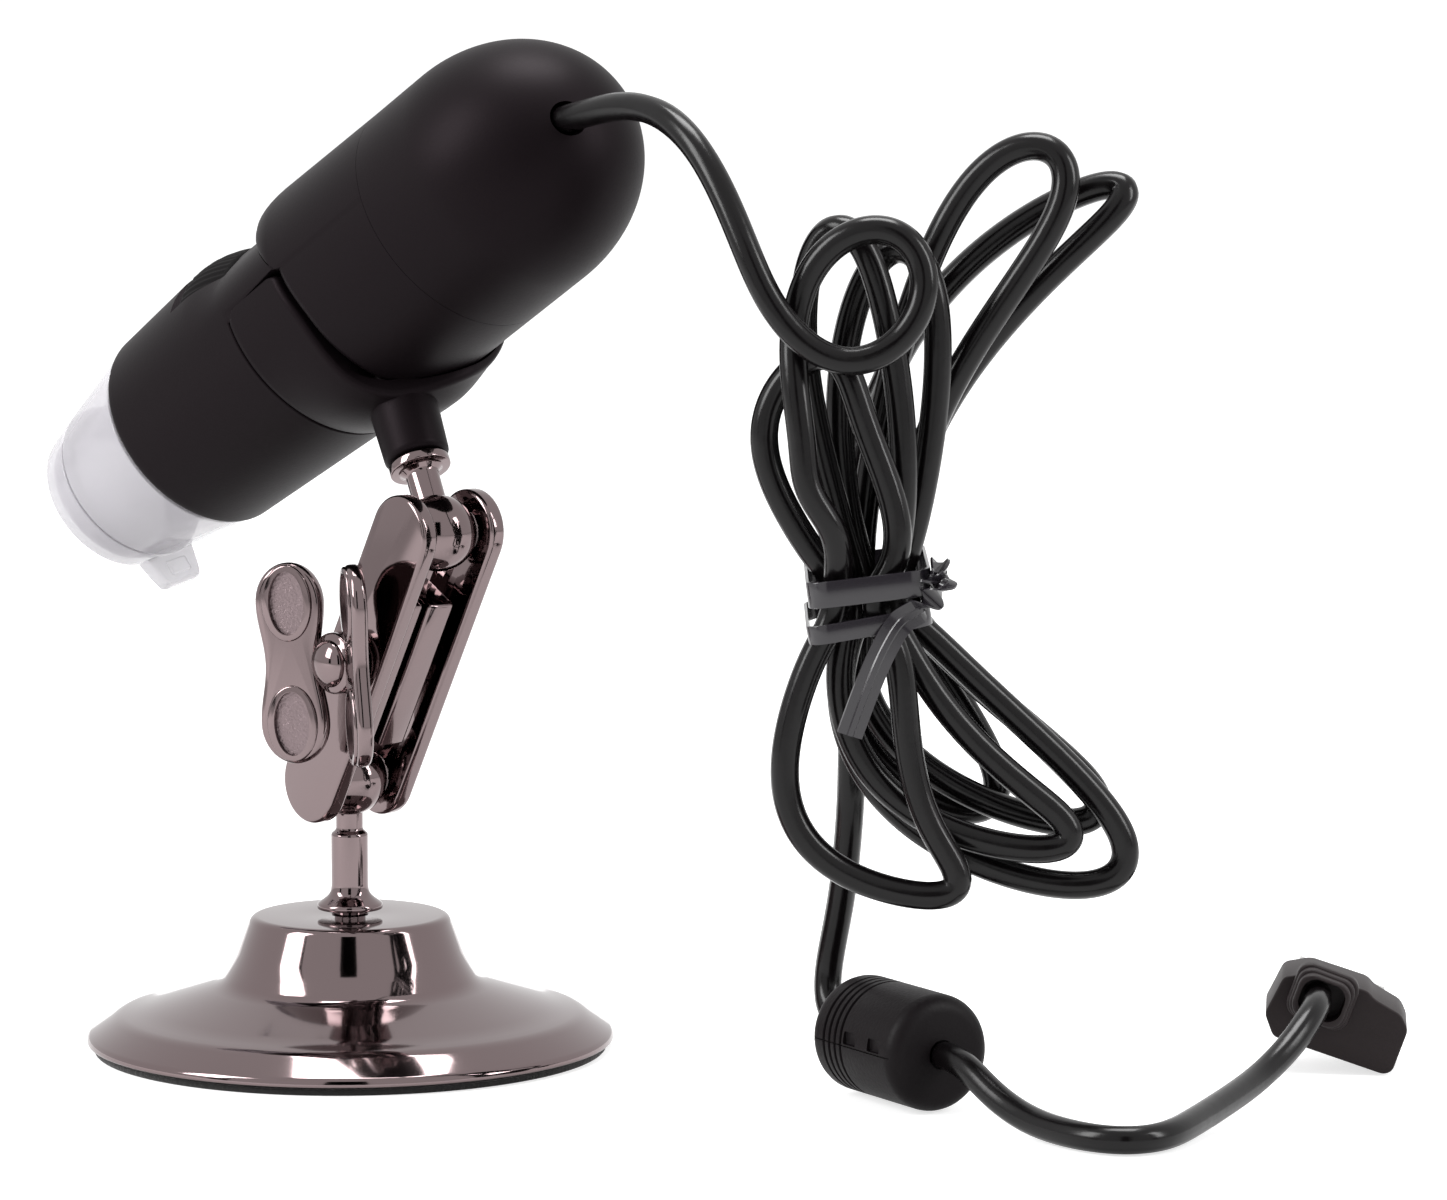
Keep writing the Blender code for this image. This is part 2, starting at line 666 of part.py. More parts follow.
def build_clip(group):
    """The snap ring round the neck, with the boss that the stud screws into."""
    inner = NECK_R + GAP
    profile = [(inner, -CLIP_AHEAD), (CLIP_R, -CLIP_AHEAD), (CLIP_R + CLIP_FLARE, CLIP_BEHIND)]
    profile += [(inner, CLIP_BEHIND)]
    mesh = sector(profile, 180 - CLIP_HALF_DEG, 180 + CLIP_HALF_DEG, 18)
    bm = bmesh.new()
    bm.from_mesh(mesh)
    ends = []
    for edge in bm.edges:
        a, b = (v.co for v in edge.verts)
        radial = abs(a.z - b.z) < WELD and abs(a.xy.length - b.xy.length) > NOSE_ROUND
        cuts_end = min(abs(abs(math.atan2(a.y, -a.x)) - math.radians(CLIP_HALF_DEG)), 1.0) < 0.001
        if radial and cuts_end:
            ends.append(edge)
    bmesh.ops.bevel(bm, geom=ends, offset=CLIP_CORNER, segments=3, profile=0.5, affect="EDGES")
    clip = add("holder_clip", to_mesh(bm, "clip"), group, SOFT_BLACK, ON_AXIS)
    over = TAIL_R + GAP
    behind = GRIP_LEN - CLIP_AHEAD
    top = CLIP_R + GRIP_RISE + CLIP_FLARE
    swell = [(inner, -CLIP_AHEAD), (CLIP_R, -CLIP_AHEAD)]
    for share, rise in GRIP_SWELL_SHARES:
        swell += [(CLIP_R + (top - CLIP_R) * rise, -CLIP_AHEAD + GRIP_LEN * share)]
    swell += [(over + GAP, behind), (over - GAP, behind), (over - GAP, CLIP_BEHIND)]
    swell += [(inner, CLIP_BEHIND)]
    join(clip, sector(swell, GRIP_FROM_DEG, GRIP_TO_DEG, 8), group, ON_AXIS)
    foot = STUD_FLANGE_AT + STUD_FLANGE_T + GAP
    deep = AXIS_HEIGHT - (NECK_R + GAP) * math.cos(BOSS_TOP_R / NECK_R)
    bore = STUD_THREAD_R + GAP
    bore_top = foot + STUD_THREAD_LEN + GAP
    boss = [(bore, foot), (BOSS_R - BOSS_ROUND, foot)]
    boss += arc(BOSS_R - BOSS_ROUND, foot + BOSS_ROUND, BOSS_ROUND, -45, 0, 2)
    boss += [(BOSS_TOP_R, deep), (0.0, deep), (0.0, bore_top), (bore, bore_top)]
    join(clip, lathe(boss, 24), group, along_x())
    front = -CLIP_AHEAD - OVERRUN
    room = [(0.0, front), (inner, front), (inner, CLIP_BEHIND), (over, CLIP_BEHIND)]
    room += [(over, behind + OVERRUN), (0.0, behind + OVERRUN)]
    cut(clip, lathe(room, 48), group, ON_AXIS)
    return clip


def build_barrel(group):
    wall = BARREL_WALL
    window_rear = -WHEEL_MID_AHEAD + WHEEL_LEN / 2 + GAP
    profile = arc(NOSE_R - NOSE_ROUND, -NOSE_AHEAD + NOSE_ROUND, NOSE_ROUND, -90, 0, 3)
    profile += [(SHOULDER_R, -SHOULDER_AHEAD)]
    drop = SHOULDER_R - NECK_R
    for i in range(1, 4):
        angle = math.pi / 2 * i / 4
        height = -SHOULDER_AHEAD + SHOULDER_LEN * math.sin(angle)
        profile += [(NECK_R + drop * math.cos(angle), height)]
    profile += [(NECK_R, -SHOULDER_AHEAD + SHOULDER_LEN), (NECK_R, NECK_BEHIND)]
    profile += [(NECK_R - wall, NECK_BEHIND), (NECK_R - wall, window_rear)]
    profile += [(SHOULDER_R - wall, window_rear), (NOSE_R - wall, -NOSE_AHEAD)]
    barrel = add("front_barrel", lathe(profile), group, SOFT_BLACK, ON_AXIS)
    half = WHEEL_LEN / 2 + GAP
    low, high = -WHEEL_MID_AHEAD - half, -WHEEL_MID_AHEAD + half - GAP
    inside = WHEEL_BORE_R
    outside = SHOULDER_R + OVERRUN
    box = [(inside, low), (outside, low), (outside, high), (inside, high)]
    cut(barrel, sector(box, -WINDOW_HALF_DEG, WINDOW_HALF_DEG, 12), group, ON_AXIS)
    dish = [(outside, -SHOULDER_AHEAD + SHOULDER_LEN + OVERRUN)]
    dish += [(NECK_R, -SHOULDER_AHEAD + SHOULDER_LEN + OVERRUN)]
    for i in range(5):
        angle = math.pi / 2 * (1 - i / 5)
        height = -SHOULDER_AHEAD + SHOULDER_LEN - DISH_LEN * (1 - math.sin(angle))
        dish += [(NECK_R + drop * math.cos(angle), height)]
    dish += [(outside, -SHOULDER_AHEAD + SHOULDER_LEN - DISH_LEN)]
    cut(barrel, sector(dish, -DISH_HALF_DEG, DISH_HALF_DEG, 10), group, ON_AXIS)
    return barrel


def build_focus():
    """The ribbed wheel and the lens carriage that its thread moves."""
    wheel_group = guide("wheel_group", HEAD_FRAME @ ON_AXIS)
    low = -WHEEL_MID_AHEAD - WHEEL_LEN / 2
    high = low + WHEEL_LEN
    profile = [(WHEEL_BORE_R, low)]
    count = 6
    for i in range(count + 1):
        share = 2 * i / count - 1
        profile += [(WHEEL_R - WHEEL_CROWN * share**2, low + WHEEL_LEN * i / count)]
    profile += [(WHEEL_BORE_R, high)]
    mesh = lathe(profile, WHEEL_RIBS)
    for vert in mesh.vertices:
        step = round(math.atan2(vert.co.y, vert.co.x) / (math.tau / WHEEL_RIBS))
        radius = vert.co.xy.length
        if step % 2 and radius > WHEEL_BORE_R + WHEEL_CROWN:
            vert.co.xy = vert.co.xy * (1 - RIB_DEPTH / radius)
    add("focus_wheel", mesh, wheel_group, RIBBED_BLACK)

    carriage_group = guide("carriage_group", HEAD_FRAME @ ON_AXIS)
    radius = WHEEL_BORE_R - GAP
    bore = radius - CARRIAGE_WALL
    seat = bore + LENS_LIP
    front, rear = -CARRIAGE_AHEAD, -CARRIAGE_AHEAD + CARRIAGE_LEN
    depth = LENS_T + GAP
    profile = [(seat, front), (radius, front), (radius, rear), (seat, rear), (seat, rear - depth)]
    profile += [(bore, rear - depth), (bore, front + depth), (seat, front + depth)]
    add("lens_carriage", lathe(profile, 20), carriage_group, MOULDED)
    for name, middle in (
        ("objective_lens", front + depth - GAP - LENS_T / 2),
        ("rear_lens", rear - depth + GAP + LENS_T / 2),
    ):
        rim = LENS_T / 2 - LENS_BULGE
        lens_r = seat - GAP
        lens = [(0.0, middle - LENS_T / 2), (lens_r / 2, middle - LENS_T / 2 + LENS_BULGE / 4)]
        lens += [(lens_r, middle - rim), (lens_r, middle + rim)]
        lens += [(lens_r / 2, middle + LENS_T / 2 - LENS_BULGE / 4), (0.0, middle + LENS_T / 2)]
        add(name, lathe(lens, 16), carriage_group, GLASS)


def build_light_ring(group):
    outer = barrel_r(RING_AHEAD) - BARREL_WALL - GAP
    low = -RING_AHEAD
    ring = [(RING_BORE_R, low), (outer, low), (outer, low + RING_T), (RING_BORE_R, low + RING_T)]
    add("light_board", lathe(ring, 20), group, BOARD, ON_AXIS)
    front = low - GAP - LED_LEN
    for i in range(LED_COUNT):
        angle = math.tau * i / LED_COUNT
        profile = [(0.0, front), (LED_R * LED_TIP_SHARES[0], front + LED_R * LED_TIP_SHARES[1])]
        profile += [(LED_R, front + LED_R), (LED_R, low - GAP), (0.0, low - GAP)]
        out = Vector((math.cos(angle), math.sin(angle), 0)) * LED_CIRCLE_R
        spot = Matrix.Translation(out)
        add(f"led_{i + 1}", lathe(profile, 8), group, LED, ON_AXIS @ spot)


def build_nozzle(group):
    """The clear cone that touches the specimen, with its spigot inside the barrel."""
    top = -NOSE_AHEAD - GAP
    end = top - NOZZLE_LEN
    mouth = end + CAP_LEN
    step = mouth + GAP
    floor = end - GAP
    bottom = floor - CAP_FLOOR

    def cone_r(height):
        return NOZZLE_R - NOZZLE_SLOPE_SHARE * (top - height)

    def seat_r(height):
        return cone_r(height) - CAP_WALL - GAP

    spigot = barrel_r(NOSE_AHEAD) - BARREL_WALL - GAP
    profile = [(seat_r(end), end), (seat_r(step), step), (cone_r(step), step), (NOZZLE_R, top)]
    profile += [(spigot, top), (spigot, top + SPIGOT_LEN)]
    profile += [(spigot - NOZZLE_WALL, top + SPIGOT_LEN), (spigot - NOZZLE_WALL, top)]
    profile += [(seat_r(step) - NOZZLE_WALL, step), (seat_r(end) - NOZZLE_WALL, end)]
    add("clear_nozzle", lathe(profile, NOZZLE_STEPS), group, CLEAR, ON_AXIS)

    cap_group = guide("cap_group", HEAD_FRAME @ ON_AXIS)
    rim = [(0.0, bottom), (cone_r(bottom) - CAP_ROUND, bottom)]
    rim += [(cone_r(bottom + CAP_ROUND), bottom + CAP_ROUND), (cone_r(mouth), mouth)]
    rim += [(cone_r(mouth) - CAP_WALL, mouth), (cone_r(floor) - CAP_WALL, floor), (0.0, floor)]
    cap = add("nozzle_cap", lathe(rim, NOZZLE_STEPS), cap_group, CLEAR)
    turn = Matrix.Rotation(math.radians(TAB_TURN_DEG), 4, "Z")
    root = cone_r(mouth) - CAP_WALL / 2
    tip = cone_r(mouth) + TAB_LEN
    half = TAB_W / 2
    narrow = half * (1 - TAB_TIP_SHARE)
    outline = [(root, -half), (tip - TAB_T, -half * (1 - TAB_TIP_SHARE / 2)), (tip, -narrow)]
    outline += [(tip, narrow), (tip - TAB_T, half * (1 - TAB_TIP_SHARE / 2)), (root, half)]
    low = mouth - TAB_ROUND - TAB_T
    tab = slab(outline, TAB_T, TAB_ROUND, True)
    join(cap, tab, cap_group, turn @ Matrix.Translation((0, 0, low)))
    centre = (root + tip) / 2
    half_l = TAB_LEN * TAB_MARK_SHARE / 2
    half_w = TAB_W * TAB_MARK_W_SHARE / 2
    mark = block(
        (centre - half_l, -half_w, low + TAB_T / 2),
        (centre + half_l, half_w, low + TAB_T + TAB_MARK_T),
    )
    join(cap, mark, cap_group, turn)


def dome_r(behind):
    share = (behind - DOME_BEHIND) / DOME_LEN
    return TAIL_R * math.sqrt(max(0.0, 1 - share**2)) if share > 0 else TAIL_R


def button_frame():
    """Z points out of the shell at the button, from the barrel's axis."""
    angle = math.radians(BUTTON_TURN_DEG)
    out = Vector((math.cos(angle), math.sin(angle), 0))
    return frame((AXIS_HEIGHT, 0, BUTTON_BEHIND), (0, 0, 1), out)


def build_tail(group):
    inside = TAIL_R - TAIL_WALL
    front = TAIL_BEHIND
    profile = arc(TAIL_R - TAIL_ROUND, front + TAIL_ROUND, TAIL_ROUND, -90, 0, 3)
    profile += [(TAIL_R, SEAM_BEHIND - GAP / 2), (inside, SEAM_BEHIND - GAP / 2)]
    profile += [(inside, front)]
    shell = add("rear_shell", lathe(profile), group, SOFT_BLACK, ON_AXIS)
    hugging = NECK_R + GAP
    visor = [(hugging, -VISOR_AHEAD)]
    count = 6
    for i in range(1, count + 1):
        angle = math.pi / 2 * i / count
        rise = (TAIL_R - hugging) * math.sin(angle)
        visor += [(hugging + rise, -VISOR_AHEAD + VISOR_LEN * (1 - math.cos(angle)))]
    back = front + TAIL_ROUND + GAP
    visor += [(TAIL_R, back), (inside - GAP, back), (hugging, front)]
    join(shell, sector(visor, -VISOR_HALF_DEG, VISOR_HALF_DEG, 16), group, ON_AXIS)
    hole = rod(BUTTON_R + GAP, inside - TAIL_WALL, TAIL_R + OVERRUN, 20)
    cut(shell, hole, group, button_frame())

    low = SEAM_BEHIND + GAP / 2
    outer = [(TAIL_R, low), (TAIL_R, DOME_BEHIND)]
    inner = [(0.0, DOME_BEHIND + DOME_LEN - TAIL_WALL)]
    count = 9
    for i in range(1, count):
        angle = math.pi / 2 * i / count
        outer += [(TAIL_R * math.cos(angle), DOME_BEHIND + DOME_LEN * math.sin(angle))]
    count = 5
    for i in range(1, count):
        angle = math.pi / 2 * (count - i) / count
        height = DOME_BEHIND + (DOME_LEN - TAIL_WALL) * math.sin(angle)
        inner += [(inside * math.cos(angle), height)]
    outer += [(0.0, DOME_BEHIND + DOME_LEN)]
    lip = inside - GAP
    inner += [(inside, DOME_BEHIND), (inside, low + LIP_LEN), (lip - LIP_T, low + LIP_LEN)]
    inner += [(lip - LIP_T, low - LIP_LEN), (lip, low - LIP_LEN), (lip, low)]
    cap = add("tail_cap", lathe(outer + inner), group, SOFT_BLACK, ON_AXIS)
    hole = rod(CORD_R + HOLE_PLAY, -ANCHOR_LEN, ANCHOR_LEN, 20)
    cut(cap, hole, group, exit_frame())
    anchor = rod(ANCHOR_R, -ANCHOR_INSET - ANCHOR_LEN, -ANCHOR_INSET, 20)
    add("cord_anchor", anchor, group, MOULDED, exit_frame())
    return shell


def exit_frame():
    """Stands where the cord leaves the dome, Z along the cord."""
    radius = math.hypot(HOLE_DROP, HOLE_SIDE)
    behind = DOME_BEHIND + DOME_LEN * math.sqrt(1 - (radius / TAIL_R) ** 2)
    return frame((AXIS_HEIGHT - HOLE_DROP, HOLE_SIDE, behind), (0, 1, 0), EXIT_DIRECTION_SHARES)


def build_boards(group):
    inside = TAIL_R - TAIL_WALL
    low = BOARD_BEHIND
    add("camera_board", rod(inside - GAP, low, low + BOARD_T, 24), group, BOARD, ON_AXIS)
    half = SENSOR_W / 2
    sensor = block((-half, -half, low - GAP - SENSOR_T), (half, half, low - GAP))
    add("image_sensor", sensor, group, CHIP, ON_AXIS)

    button_group = guide("button_group", HEAD_FRAME @ button_frame())
    under = inside - 2 * GAP
    flange_r = BUTTON_R + BUTTON_FLANGE
    sag = inside - math.sqrt(inside**2 - flange_r**2)
    top = under - sag
    profile = [(0.0, top - BUTTON_FLANGE_T), (flange_r, top - BUTTON_FLANGE_T), (flange_r, top)]
    proud = TAIL_R + BUTTON_PROUD
    profile += [(BUTTON_R, top), (BUTTON_R, proud - BUTTON_PROUD / 2)]
    profile += [(BUTTON_R * BUTTON_TOP_SHARE, proud), (0.0, proud)]
    add("snapshot_button", lathe(profile, 20), button_group, MOULDED)

    half = SWITCH_W / 2
    switch_top = top - BUTTON_FLANGE_T - BUTTON_TRAVEL - GAP
    switch = block((-half, -half, switch_top - SWITCH_T), (half, half, switch_top))
    add("button_switch", switch, group, CHIP, button_frame())
    board_top = switch_top - SWITCH_T - GAP
    board_low = board_top - SWITCH_BOARD_T
    half_w = math.sqrt((inside - 2 * GAP) ** 2 - board_top**2)
    board = block(
        (-SWITCH_BOARD_L / 2, -half_w, board_low), (SWITCH_BOARD_L / 2, half_w, board_top)
    )
    add("switch_board", board, group, BOARD, button_frame())


# Route points of the free stretches, in metres
LEAD_ROUTE = [
    (0.0362, -0.0346, 0.1268), (0.0402, -0.0395, 0.1267), (0.0433, -0.0440, 0.1253),
    (0.0462, -0.0478, 0.1224), (0.0486, -0.0506, 0.1186), (0.0508, -0.0531, 0.1140),
    (0.0526, -0.0550, 0.1096), (0.0546, -0.0564, 0.1050), (0.0572, -0.0574, 0.1010),
    (0.0606, -0.0578, 0.0978), (0.0643, -0.0578, 0.0962), (0.0681, -0.0574, 0.0967),
    (0.0716, -0.0569, 0.0991), (0.0741, -0.0564, 0.1031), (0.0746, -0.0560, 0.1073),
    (0.0731, -0.0554, 0.1109), (0.0703, -0.0549, 0.1128), (0.0665, -0.0543, 0.1127),
    (0.0626, -0.0537, 0.1104), (0.0600, -0.0532, 0.1069), (0.0586, -0.0530, 0.1026),
    (0.0581, -0.0542, 0.0975), (0.0586, -0.0556, 0.0920),
]
DROP_ROUTE = [
    (0.0659, -0.0308, 0.0384), (0.0656, -0.0288, 0.0330), (0.0651, -0.0258, 0.0265),
    (0.0643, -0.0230, 0.0207), (0.0634, -0.0213, 0.0157), (0.0629, -0.0215, 0.0115),
    (0.0635, -0.0236, 0.0084),
]
TAIL_ROUTE = [
    (0.0807, -0.0522, 0.0068), (0.0833, -0.0556, 0.0044), (0.0872, -0.0603, 0.0024),
    (0.0915, -0.0662, 0.0019), (0.0958, -0.0706, 0.0019), (0.1000, -0.0718, 0.0019),
    (0.1045, -0.0683, 0.0020), (0.1100, -0.0570, 0.0024), (0.1153, -0.0462, 0.0033),
    (0.1180, -0.0412, 0.0042), (0.1208, -0.0375, 0.0060), (0.1232, -0.0348, 0.0081),
    (0.1248, -0.0325, 0.0101),
]


def smooth_curve(points, spacing):
    """Points at an even spacing on a smooth curve through the given ones."""
    known = [Vector(p) for p in points]
    padded = [2 * known[0] - known[1]] + known + [2 * known[-1] - known[-2]]
    dense = []
    steps = 12
    for i in range(1, len(padded) - 2):
        p0, p1, p2, p3 = padded[i - 1 : i + 3]
        for j in range(steps):
            t = j / steps
            dense.append(0.5 * (
                2 * p1 + (p2 - p0) * t + (2 * p0 - 5 * p1 + 4 * p2 - p3) * t**2
                + (3 * p1 - p0 - 3 * p2 + p3) * t**3
            ))
    dense.append(known[-1])
    reach = [0.0]
    for a, b in zip(dense, dense[1:]):
        reach.append(reach[-1] + (b - a).length)
    count = max(2, round(reach[-1] / spacing))
    even = np.linspace(0.0, reach[-1], count + 1)
    columns = [np.interp(even, reach, [p[axis] for p in dense]) for axis in range(3)]
    return [Vector(p) for p in zip(*columns)], reach[-1]


def tube(name, points, group, resolution):
    """A cord stretch as a round curve with closed ends."""
    curve = bpy.data.curves.new(name, "CURVE")
    curve.dimensions = "3D"
    curve.bevel_depth = CORD_R
    curve.bevel_resolution = resolution
    curve.use_fill_caps = True
    spline = curve.splines.new("POLY")
    spline.points.add(len(points) - 1)
    for point, place in zip(spline.points, points):
        point.co = (*place, 1.0)
    curve.materials.append(finish(*CORD))
    piece = bpy.data.objects.new(name, curve)
    bpy.context.scene.collection.objects.link(piece)
    piece.parent = group
    piece.matrix_parent_inverse = group.matrix_world.inverted()
    return piece


# Each lobe: tip to the right, tip up, half width and sideways bow as shares of HANK_REACH,
# then how strongly its width gathers at the tip
HANK_REACH = 0.0500
TOP_LOBE_SHARES = [
    (-0.12, 0.632, 0.112, -0.09, 0.0),
    (-0.088, 0.946, 0.081, -0.03, 0.25),
    (0.074, 0.888, 0.086, 0.0, 0.25),
    (0.44, 1.13, 0.085, 0.02, 2.6),
    (0.65, 1.03, 0.045, -0.04, 1.2),
]
LOW_LOBE_SHARES = [
    (0.21, -0.734, 0.120, 0.12, 0.10),
    (0.508, -0.62, 0.092, 0.05, 0.25),
    (0.625, -0.715, 0.162, 0.0, 0.25),
    (0.58, -0.58, 0.097, 0.0, 0.25),
    (0.30, -0.572, 0.092, 0.0, 0.25),
]
STRAND_OFFSET_SHARES = [-0.05, -0.015, 0.01, 0.03, 0.015, -0.01]


def strand_x(layer, side):
    offset = STRAND_OFFSET_SHARES[layer] * HANK_REACH
    return WAIST_AT[0] + offset + side * STRAND_HALF_STEP


def layer_y(layer):
    return WAIST_AT[1] + (layer - (len(STRAND_OFFSET_SHARES) - 1) / 2) * LAYER_PITCH


def eased(u, wait):
    """Goes smoothly from 0 to 1, level for the wait at each end."""
    share = min(max((u - wait) / (1 - 2 * wait), 0.0), 1.0)
    return (1 - math.cos(math.pi * share)) / 2


def lobe(start, end, shares):
    """One lobe from a strand at the tie, out to the tip and back to the next strand."""
    target = Vector(WAIST_AT) + Vector((shares[0], 0, shares[1])) * HANK_REACH
    tip = target - (start + end) / 2
    tip.y = 0.0
    across = Vector((-tip.z, 0, tip.x)).normalized()
    swing = shares[2] * HANK_REACH
    bow = shares[3] * HANK_REACH
    gather = shares[4]
    far = (2 * gather + 1) / (2 * gather + 2)
    widest = 2 * math.sqrt(far * (1 - far)) * far**gather
    turn = 1 if (start - end).dot(across) > 0 else -1
    points = []
    for i in range(LOBE_POINTS + 1):
        u = i / LOBE_POINTS
        out = (1 - math.cos(math.tau * u)) / 2
        base = start.lerp(end, eased(u, 0.25))
        base.y = start.y + (end.y - start.y) * eased(u, 0.38)
        side = turn * swing * math.sin(math.tau * u) * out**gather / widest
        lean = out * out * (1 - out)
        level = Vector((tip.x * out * out, 0, tip.z * out))
        points.append(base + level + across * (side - bow * 6 * lean))
    return points


def hank_points():
    """All the strands in order: down, up, down, one layer further back each time."""
    lift = Vector((0, 0, WAIST_STRAIGHT / 2))
    waist_h = WAIST_AT[2]
    layers = len(LOW_LOBE_SHARES)
    front = layer_y(-1)
    first = strand_x(0, -1)
    route = [
        Vector((HANK_TOP_X, front, HANK_TOP_H)),
        Vector((HANK_TOP_X, front, HANK_TOP_H - 2 * CORD_R)),
        Vector((first, front + LAYER_PITCH / 4, (HANK_TOP_H + waist_h) / 2)),
    ]
    for layer in range(layers):
        left = Vector((strand_x(layer, -1), layer_y(layer), waist_h))
        right = Vector((strand_x(layer, 1), layer_y(layer), waist_h))
        following = Vector((strand_x(layer + 1, -1), layer_y(layer + 1), waist_h))
        if layer == 0:
            route.append(left + lift)
        route += lobe(left - lift, right - lift, LOW_LOBE_SHARES[layer])
        route += lobe(right + lift, following + lift, TOP_LOBE_SHARES[layer])
    last = Vector((strand_x(layers, -1), layer_y(layers), waist_h))
    route.append(last - lift)
    route.append(Vector((HANK_END_X, layer_y(layers), HANK_END_H + 2 * CORD_R)))
    route.append(Vector((HANK_END_X, layer_y(layers), HANK_END_H)))
    return route


def least_self_gap(points):
    """The least clear distance between parts of the tube that aren't neighbours along it."""
    places = np.array([tuple(p) for p in points])
    steps = np.linalg.norm(np.diff(places, axis=0), axis=1)
    reach = np.concatenate([[0.0], np.cumsum(steps)])
    fine = np.linspace(0.0, reach[-1], 6 * len(points))
    fine_places = np.stack([np.interp(fine, reach, places[:, axis]) for axis in range(3)], axis=1)
    apart = np.linalg.norm(fine_places[:, None] - fine_places[None, :], axis=2)
    far_along = np.abs(fine[:, None] - fine[None, :]) > 6 * CORD_R
    apart[~far_along] = np.inf
    where = np.unravel_index(np.argmin(apart), apart.shape)
    return apart.min() - 2 * CORD_R, fine_places[where[0]], fine_places[where[1]]


def build_cord(group):
    out = HEAD_FRAME @ exit_frame()
    start = out @ Vector((0, 0, -ANCHOR_INSET + GAP))
    leaving = out @ Vector((0, 0, CORD_R))
    top = Vector((HANK_TOP_X, layer_y(-1), HANK_TOP_H + GAP))
    route = [start, leaving] + LEAD_ROUTE + [top + Vector((0, 0, 2 * CORD_R)), top]
    lead, lead_len = smooth_curve(route, 5 * CORD_R / 2)
    tube("cord_lead", lead, group, CORD_SIDES_RES)

    hank, hank_len = smooth_curve(hank_points(), 2 * CORD_R)
    tube("cord_hank", hank, group, HANK_SIDES_RES)
    gap, here, there = least_self_gap(hank)
    print("least gap of the hank to itself, mm:", round(gap * 1000, 2), here * 1000, there * 1000)

    low = Vector((HANK_END_X, layer_y(len(LOW_LOBE_SHARES)), HANK_END_H - GAP))
    into = FERRITE_FRAME @ Vector((0, 0, -FERRITE_LEN / 2 - GAP))
    before = FERRITE_FRAME @ Vector((0, 0, -FERRITE_LEN / 2 - GAP - 2 * CORD_R))
    route = [low, low - Vector((0, 0, 2 * CORD_R))] + DROP_ROUTE + [before, into]
    drop, drop_len = smooth_curve(route, 2 * CORD_R)
    tube("cord_drop", drop, group, CORD_SIDES_RES)

    away = FERRITE_FRAME @ Vector((0, 0, FERRITE_LEN / 2 + GAP))
    onward = FERRITE_FRAME @ Vector((0, 0, FERRITE_LEN / 2 + GAP + 2 * CORD_R))
    entry = PLUG_FRAME @ Vector((ENTRY_SIDE, ENTRY_LIFT, -COLLAR_LEN - GAP))
    near = PLUG_FRAME @ Vector((ENTRY_SIDE, ENTRY_LIFT, -COLLAR_LEN - GAP - 2 * CORD_R))
    route = [away, onward] + TAIL_ROUTE + [near, entry]
    tail, tail_len = smooth_curve(route, 2 * CORD_R)
    tube("cord_tail", tail, group, CORD_SIDES_RES)
    total = lead_len + hank_len + drop_len + tail_len
    lengths = (lead_len, hank_len, drop_len, tail_len, total)
    print("cord lengths, mm:", [round(v * 1000) for v in lengths])


def local_in(group, matrix):
    """The place inside a group of something known by its place in the world."""
    return group.matrix_world.inverted() @ matrix


FERRITE_DIRECTION = (
    math.cos(math.radians(FERRITE_TURN_DEG)), math.sin(math.radians(FERRITE_TURN_DEG)), 0.0
)
FERRITE_FRAME = frame(FERRITE_AT, (0, 0, 1), FERRITE_DIRECTION)


def build_ferrite(group):
    """Two clip-together case halves round a ferrite core."""
    half = FERRITE_LEN / 2
    grooves = []
    first = -half + FERRITE_ROUND + GROOVE_PITCH
    for i in range(FERRITE_GROOVES):
        z = first + i * GROOVE_PITCH
        grooves += [(FERRITE_R, z), (FERRITE_R - GROOVE_DEPTH, z)]
        grooves += [(FERRITE_R - GROOVE_DEPTH, z + GROOVE_W), (FERRITE_R, z + GROOVE_W)]
    outer = arc(FERRITE_R - FERRITE_ROUND, -half + FERRITE_ROUND, FERRITE_ROUND, -90, 0, 3)
    outer += grooves
    outer += arc(FERRITE_R - FERRITE_ROUND, half - FERRITE_ROUND, FERRITE_ROUND, 0, 90, 3)
    bore = CORD_R - GAP
    room = CORE_R + GAP
    inner = [(bore, half), (bore, half - FERRITE_WALL), (room, half - FERRITE_WALL)]
    inner += [(room, -half + FERRITE_WALL), (bore, -half + FERRITE_WALL), (bore, -half)]
    place = local_in(group, FERRITE_FRAME)
    split = GAP / 2
    reach = FERRITE_R + OVERRUN
    for name, low_x, high_x in (
        ("ferrite_case_top", -reach, split), ("ferrite_case_bottom", -split, reach),
    ):
        case = add(name, lathe(outer + inner, SMALL_STEPS), group, MOULDED, place)
        away = block((low_x, -reach, -half - OVERRUN), (high_x, reach, half + OVERRUN))
        cut(case, away, group, place)
    core = [(bore, -half + FERRITE_WALL + GAP), (CORE_R, -half + FERRITE_WALL + GAP)]
    core += [(CORE_R, half - FERRITE_WALL - GAP), (bore, half - FERRITE_WALL - GAP)]
    add("ferrite_core", lathe(core, 20), group, CHIP, place)


def plug_frame():
    """Z points into the plug, X to its left from behind, Y up its height."""
    turn = math.radians(PLUG_TURN_DEG)
    tilt = math.radians(PLUG_TILT_DEG)
    ahead = Vector((-math.sin(turn), math.cos(turn), 0.0)) * math.cos(tilt)
    forward = ahead + Vector((0, 0, math.sin(tilt)))
    level = Vector((math.cos(turn), math.sin(turn), 0.0))
    upright = frame(PLUG_AT, -level, forward)
    return upright @ Matrix.Rotation(math.radians(PLUG_ROLL_DEG), 4, "Z")


PLUG_FRAME = plug_frame()


